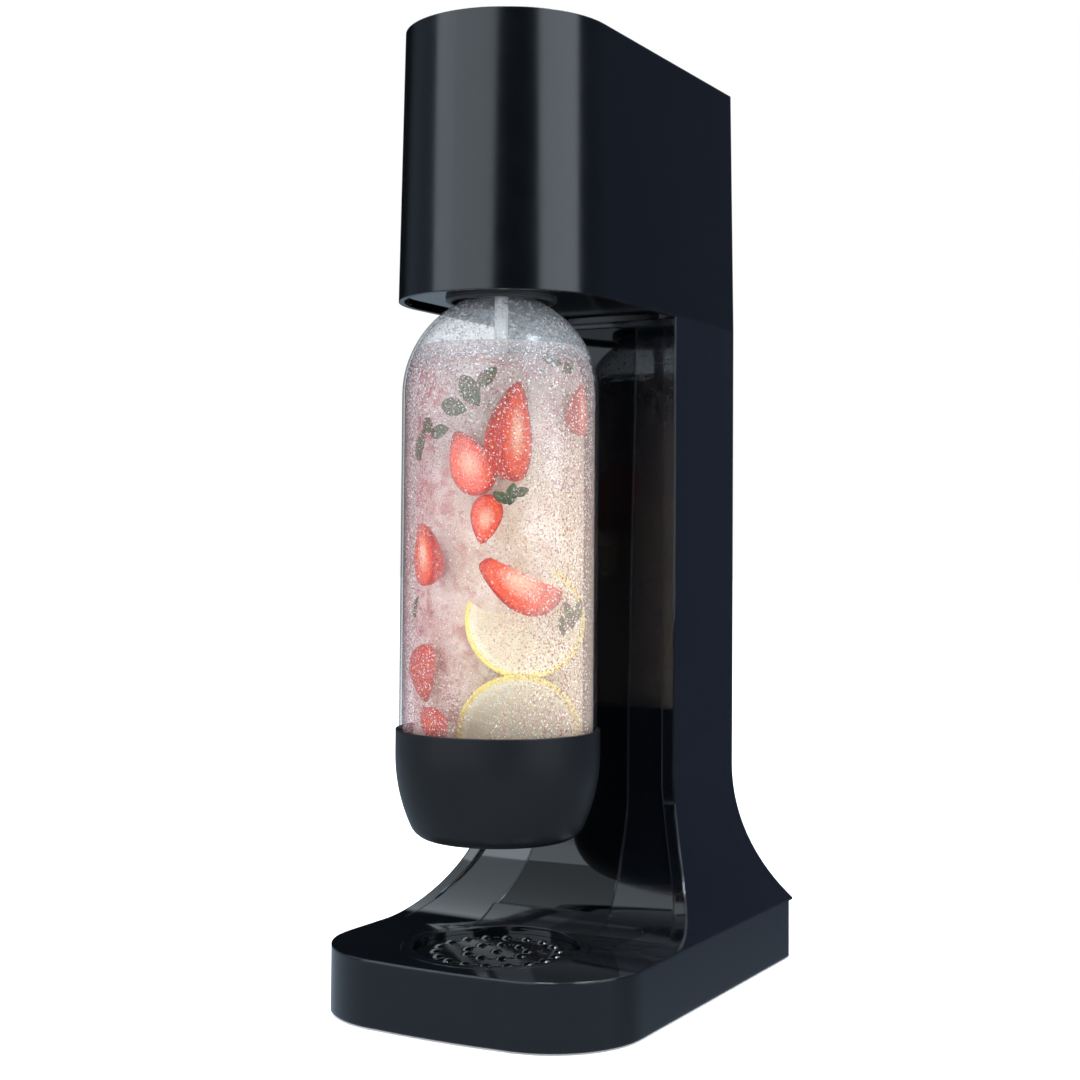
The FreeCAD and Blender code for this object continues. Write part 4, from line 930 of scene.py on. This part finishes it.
@dataclass
class Fruit:
    """Strawberries, lemon slices and mint in the drink."""

    inside: BottleFrame
    berry_width: float = 13.0 * MM
    berry_length: float = 21.0 * MM
    lemon_radius: float = 27.5 * MM
    lemon_thickness: float = 2.4 * MM
    narrowing: float = 0.34
    tip_narrowing: float = 0.10

    def build(self) -> None:
        """Make each piece of fruit in its place."""
        self.berries()
        self.lemons()
        self.mint()

    def narrow(self, along: float) -> float:
        """Return a berry's width at a place along it, from -1 to 1."""
        return 1.0 - self.narrowing * along - self.tip_narrowing * along ** 2

    def berry(self, name: str, place: Matrix, size: float, cuts: list[tuple[Vector, float]]
              ) -> None:
        """Make a strawberry that is cut by planes.

        Args:
            name: Name of the piece.
            place: Where it lies, with its tip along Y.
            size: Scale of the berry.
            cuts: Planes as (normal, distance), which keep the side behind them.
        """
        work = bmesh.new()
        bmesh.ops.create_uvsphere(work, u_segments=28, v_segments=18, radius=1.0)
        bmesh.ops.rotate(work, verts=work.verts, matrix=Matrix.Rotation(math.pi / 2, 3, "X"))
        for vert in work.verts:
            narrow = self.narrow(vert.co.y)
            vert.co.x *= narrow
            vert.co.z *= narrow
        heart = work.verts.layers.float.new("heart")
        wide, long = self.berry_width * size, self.berry_length * size
        for normal, distance in cuts:
            made = bmesh.ops.bisect_plane(
                work, geom=[*work.verts, *work.edges, *work.faces],
                plane_co=normal * distance, plane_no=normal, clear_outer=True)
            rim = [e for e in made["geom_cut"] if isinstance(e, bmesh.types.BMEdge)]
            capped = bmesh.ops.edgenet_fill(work, edges=rim)
            hub = bmesh.ops.poke(work, faces=capped["faces"])["verts"]
            spokes = [edge for vert in hub for edge in vert.link_edges]
            bmesh.ops.subdivide_edges(work, edges=spokes, cuts=3, use_grid_fill=True)
        for vert in work.verts:
            narrow = self.narrow(vert.co.y)
            spread = math.hypot(vert.co.x, vert.co.z) / max(narrow, 0.2)
            vert[heart] = min(math.hypot(spread, vert.co.y), 1.0)
        bmesh.ops.triangulate(work, faces=[f for f in work.faces if len(f.verts) > 4])
        bmesh.ops.scale(work, verts=work.verts, vec=(wide, long, wide))
        bmesh.ops.transform(work, verts=work.verts, matrix=place)
        bmesh.ops.recalc_face_normals(work, faces=work.faces)
        piece = publish(work, name, "bottle", BERRY)
        piece.modifiers.new("edge", "BEVEL").width = 0.3 * MM

    def berries(self) -> None:
        """Place the strawberry pieces."""
        z, x = Vector((0, 0, 1)), Vector((1, 0, 0))
        half, slim = [(z, 0.05)], [(z, 0.25), (-z, 0.15)]
        wedge, crown = [(z, 0.12), (x, 0.35), (-z, 0.45)], [(-z, 0.05)]
        pieces = [
            ("half", 7, 26, 256.5, -4, 62, 1.04, half),
            ("slice", 9, 28, 191.5, 66, 8, 0.92, wedge),
            ("deep", -13, 24, 243, 25, -12, 0.72, slim),
            ("piece", -6, 27, 218.5, 170, 5, 0.52, slim),
            ("side", 36, 11, 267, 5, 70, 0.55, half),
            ("left", -33, 17, 203, 8, -60, 0.66, half),
            ("low", -31, 11, 151, 172, -70, 0.62, crown),
            ("foot", -27.5, 21.5, 130.5, 60, -52, 0.48, crown),
            ("rear", 12, -36, 232, 30, 162, 0.95, half),
            ("back", -18, -33, 165, 110, 208, 0.9, half),
        ]
        for label, side, ahead, height, spin, sway, size, cuts in pieces:
            place = self.inside.spot(side * MM, ahead * MM, height * MM - self.inside.low.z,
                                     spin, 0.0, sway)
            self.berry("strawberry_" + label, place, size, cuts)

    def lemon(self, name: str, place: Matrix, size: float) -> None:
        """Make one lemon slice with rings in its faces.

        Args:
            name: Name of the piece.
            place: Where it lies; it faces along Z.
            size: Scale of the slice.
        """
        radius = self.lemon_radius * size
        work = bmesh.new()
        bmesh.ops.create_cone(work, cap_ends=True, segments=72, radius1=radius,
                              radius2=radius, depth=self.lemon_thickness)
        caps = [f for f in work.faces if len(f.verts) > 4]
        for share in (0.10, 0.10, 0.30):
            bmesh.ops.inset_region(work, faces=caps, thickness=radius * share)
        bmesh.ops.poke(work, faces=caps)
        chart = work.loops.layers.uv.new("slice")
        for face in work.faces:
            for loop in face.loops:
                loop[chart].uv = (loop.vert.co.x / radius, loop.vert.co.y / radius)
        bmesh.ops.transform(work, verts=work.verts, matrix=place)
        bmesh.ops.recalc_face_normals(work, faces=work.faces)
        piece = publish(work, name, "bottle", LEMON, smooth=False)
        edge = piece.modifiers.new("edge", "BEVEL")
        edge.width, edge.segments = 0.6 * MM, 3

    def lemons(self) -> None:
        """Place the lemon slices."""
        slices = [("upper", 11.5, 14.0, 174.5, 10, -16, 0.96),
                  ("lower", 9.0, 15.0, 125.5, 40, 16, 0.98),
                  ("rear", -4.0, -35.5, 205.0, 5, 0, 0.62)]
        for label, side, ahead, height, spin, nod, size in slices:
            place = self.inside.spot(side * MM, ahead * MM, height * MM - self.inside.low.z,
                                     spin, nod, 0.0)
            self.lemon("lemon_slice_" + label, place, size)

    def leaf(self, name: str, place: Matrix, length: float) -> None:
        """Make one mint leaf, folded along its midrib.

        Args:
            name: Name of the piece.
            place: Where it lies, with its tip along Y.
            length: Its length.
        """
        work = bmesh.new()
        bmesh.ops.create_grid(work, x_segments=8, y_segments=14, size=1.0)
        chart = work.loops.layers.uv.new("blade")
        for face in work.faces:
            for loop in face.loops:
                loop[chart].uv = (loop.vert.co.x, loop.vert.co.y)
        for vert in work.verts:
            along = (vert.co.y + 1.0) / 2.0
            tooth = 1.0 + 0.08 * abs(math.sin(along * 22.0))
            width = 0.52 * (math.sin(math.pi * min(along * 0.97 + 0.015, 1.0)) ** 0.7) * tooth
            fold = abs(vert.co.x) * 0.22 * (1.0 - along * 0.4)
            vert.co = Vector((vert.co.x * width, vert.co.y, fold - 0.20 * along ** 2))
        bmesh.ops.scale(work, verts=work.verts, vec=(length / 2,) * 3)
        bmesh.ops.recalc_face_normals(work, faces=work.faces)
        bmesh.ops.solidify(work, geom=work.faces[:], thickness=0.25 * MM)
        bmesh.ops.transform(work, verts=work.verts, matrix=place)
        bmesh.ops.recalc_face_normals(work, faces=work.faces)
        publish(work, name, "bottle", MINT)

    def mint(self) -> None:
        """Place the mint leaves."""
        spot, rise = self.inside.spot, -self.inside.low.z
        leaves = [
            (-13, 34, 0.2735, 35, 17), (-20, 31, 0.2665, 75, 15), (-6, 35, 0.2790, -40, 12),
            (-34, 19, 0.2510, 10, 15), (-31, 23, 0.2590, 60, 12), (-26, 28, 0.2560, 100, 12),
            (5, 37, 0.2290, -15, 10), (1, 37, 0.2275, 60, 9), (9, 37, 0.2300, -70, 8),
            (30, 26, 0.1770, -150, 13), (34, 20, 0.1790, 150, 11), (27, 29, 0.1730, -165, 9),
            (29, 24, 0.2850, -60, 11), (22, 30, 0.2870, 80, 10), (-36, 14, 0.1800, 20, 10),
            (14, -35, 0.2600, 30, 15), (-12, -36, 0.2400, -40, 14),
        ]
        for index, (side, ahead, height, spin, length) in enumerate(leaves, start=1):
            sway = math.degrees(math.atan2(side, ahead))
            self.leaf(f"mint_leaf_{index:02d}",
                      spot(side * MM, ahead * MM, height + rise, spin, -8, sway), length * MM)


@dataclass(frozen=True)
class SoftLight:
    """A flat, rectangular light."""

    name: str
    place: tuple[float, float, float]
    target: tuple[float, float, float]
    width: float
    height: float
    power: float
    mirrored: bool = True

    def hang(self, colour: Colour) -> None:
        """Hang the light, out of the camera's sight.

        Args:
            colour: Colour of its light.
        """
        light = bpy.data.lights.new(self.name, "AREA")
        light.shape, light.size, light.size_y = "RECTANGLE", self.width, self.height
        light.energy, light.color = self.power, colour
        lamp = bpy.data.objects.new(self.name, light)
        bpy.context.scene.collection.objects.link(lamp)
        lamp.location = self.place
        way = Vector(self.target) - Vector(self.place)
        lamp.rotation_euler = way.to_track_quat("-Z", "Y").to_euler()
        lamp.visible_glossy = self.mirrored
        lamp.visible_camera = False


@dataclass
class Studio:
    """Pale floor, soft lights and the camera."""

    eye: tuple[float, float, float] = (0.3966, -0.74358, 0.20928)
    yaw: float = -0.50286
    pitch: float = 0.03846
    roll: float = 0.0074
    lens: float = 58.907
    shift: float = -0.0622
    film: float = 36.0
    floor_reach: float = 9.0
    front_room: Colour = (0.006, 0.009, 0.012)
    rear_room: Colour = (0.055, 0.068, 0.110)
    floor_glow: Colour = (0.30, 0.38, 0.46)
    rear_floor: Colour = (0.185, 0.235, 0.29)
    sky_glow: Colour = (0.95, 1.08, 1.16)
    left_glow: Colour = (0.17, 0.22, 0.28)
    daylight: Colour = (0.80, 0.91, 1.0)
    clear_layers: int = 24
    lights: tuple[SoftLight, ...] = (
        SoftLight("front softbox", (-0.46, -1.324, 0.86), (0.0, -0.06, 0.40), 1.9, 1.6, 22.8),
        SoftLight("side softbox", (1.289, -0.195, 0.86), (0.0, -0.06, 0.40), 1.15, 1.6, 17.0),
        SoftLight("overhead softbox", (0.0, -0.2, 2.2), (0.0, 0.0, 0.0), 2.2, 2.2, 8.0, False),
        SoftLight("right spark", (0.78, 0.05, 1.7), (0.0, 0.0, 0.0), 0.42, 0.42, 17.0),
        SoftLight("middle spark", (0.10, -0.35, 1.9), (0.0, 0.0, 0.0), 0.42, 0.42, 17.0),
    )

    def build(self) -> None:
        """Set up everything around the machine."""
        self.floor()
        self.surroundings()
        for light in self.lights:
            light.hang(self.daylight)
        self.camera()

    def floor(self) -> None:
        """Lay a wide pale floor that glossy sides don't mirror."""
        work = bmesh.new()
        bmesh.ops.create_circle(work, cap_ends=True, segments=96, radius=self.floor_reach)
        mesh = bpy.data.meshes.new("floor")
        work.to_mesh(mesh)
        work.free()
        ground = bpy.data.objects.new("floor", mesh)
        bpy.context.scene.collection.objects.link(ground)
        ground.data.materials.append(PAPER.material())
        ground.visible_glossy = False

    def surroundings(self) -> None:
        """Give a white backdrop that is dim in mirrored sides."""
        board = WorldBoard("studio")
        up, rear, left = (0.0, 0.0, 1.0), (0.5, 0.866, 0.0), (-0.92, -0.39, 0.0)
        front_side = board.blend(board.towards(left, 0.72, 0.90), self.front_room,
                                 self.left_glow)
        front = board.blend(board.towards(up, -0.05, -0.15), front_side, self.floor_glow)
        back = board.blend(board.towards(up, -0.12, -0.28), self.rear_room, self.rear_floor)
        around = board.blend(board.towards(rear, 0.60, 0.90), front, back)
        room = board.blend(board.towards(up, 0.54, 0.62), around, self.sky_glow)
        white = board.node("Background", {0: (1.0, 1.0, 1.0, 1.0)})
        dim = board.node("Background", {0: room})
        mirrored = board.node("LightPath").outputs["Is Glossy Ray"]
        board.surface(board.node("MixShader", {0: mirrored, 1: white.outputs[0],
                                               2: dim.outputs[0]}))
        scene = bpy.context.scene
        scene.view_settings.view_transform = "Standard"
        scene.cycles.transparent_max_bounces = self.clear_layers

    def camera(self) -> None:
        """Stand the camera at the front right, a little above the tray."""
        lens = bpy.data.cameras.new("camera")
        lens.lens, lens.sensor_width, lens.shift_y = self.lens, self.film, self.shift
        lens.clip_start, lens.clip_end = 0.01, 50.0
        eye = bpy.data.objects.new("camera", lens)
        bpy.context.scene.collection.objects.link(eye)
        ahead = Vector((math.sin(self.yaw) * math.cos(self.pitch),
                        math.cos(self.yaw) * math.cos(self.pitch), math.sin(self.pitch)))
        right = Vector((math.cos(self.yaw), -math.sin(self.yaw), 0.0))
        up = right.cross(ahead)
        right_rolled = right * math.cos(self.roll) + up * math.sin(self.roll)
        up_rolled = up * math.cos(self.roll) - right * math.sin(self.roll)
        turn = Matrix((right_rolled, up_rolled, -ahead)).transposed().to_4x4()
        eye.matrix_world = Matrix.Translation(Vector(self.eye)) @ turn
        bpy.context.scene.camera = eye


def main() -> None:
    """Build the sub-assemblies in order."""
    logging.basicConfig(level=logging.INFO, format="%(name)s: %(message)s")
    inside = BottleFrame()
    for part in (Body(), Head(), Mechanism(), Springs(), DripTray(), Bottle(inside), Fruit(inside),
                 Studio()):
        LOG.info("building %s", type(part).__name__)
        part.build()


if __name__ == "__main__":
    main()
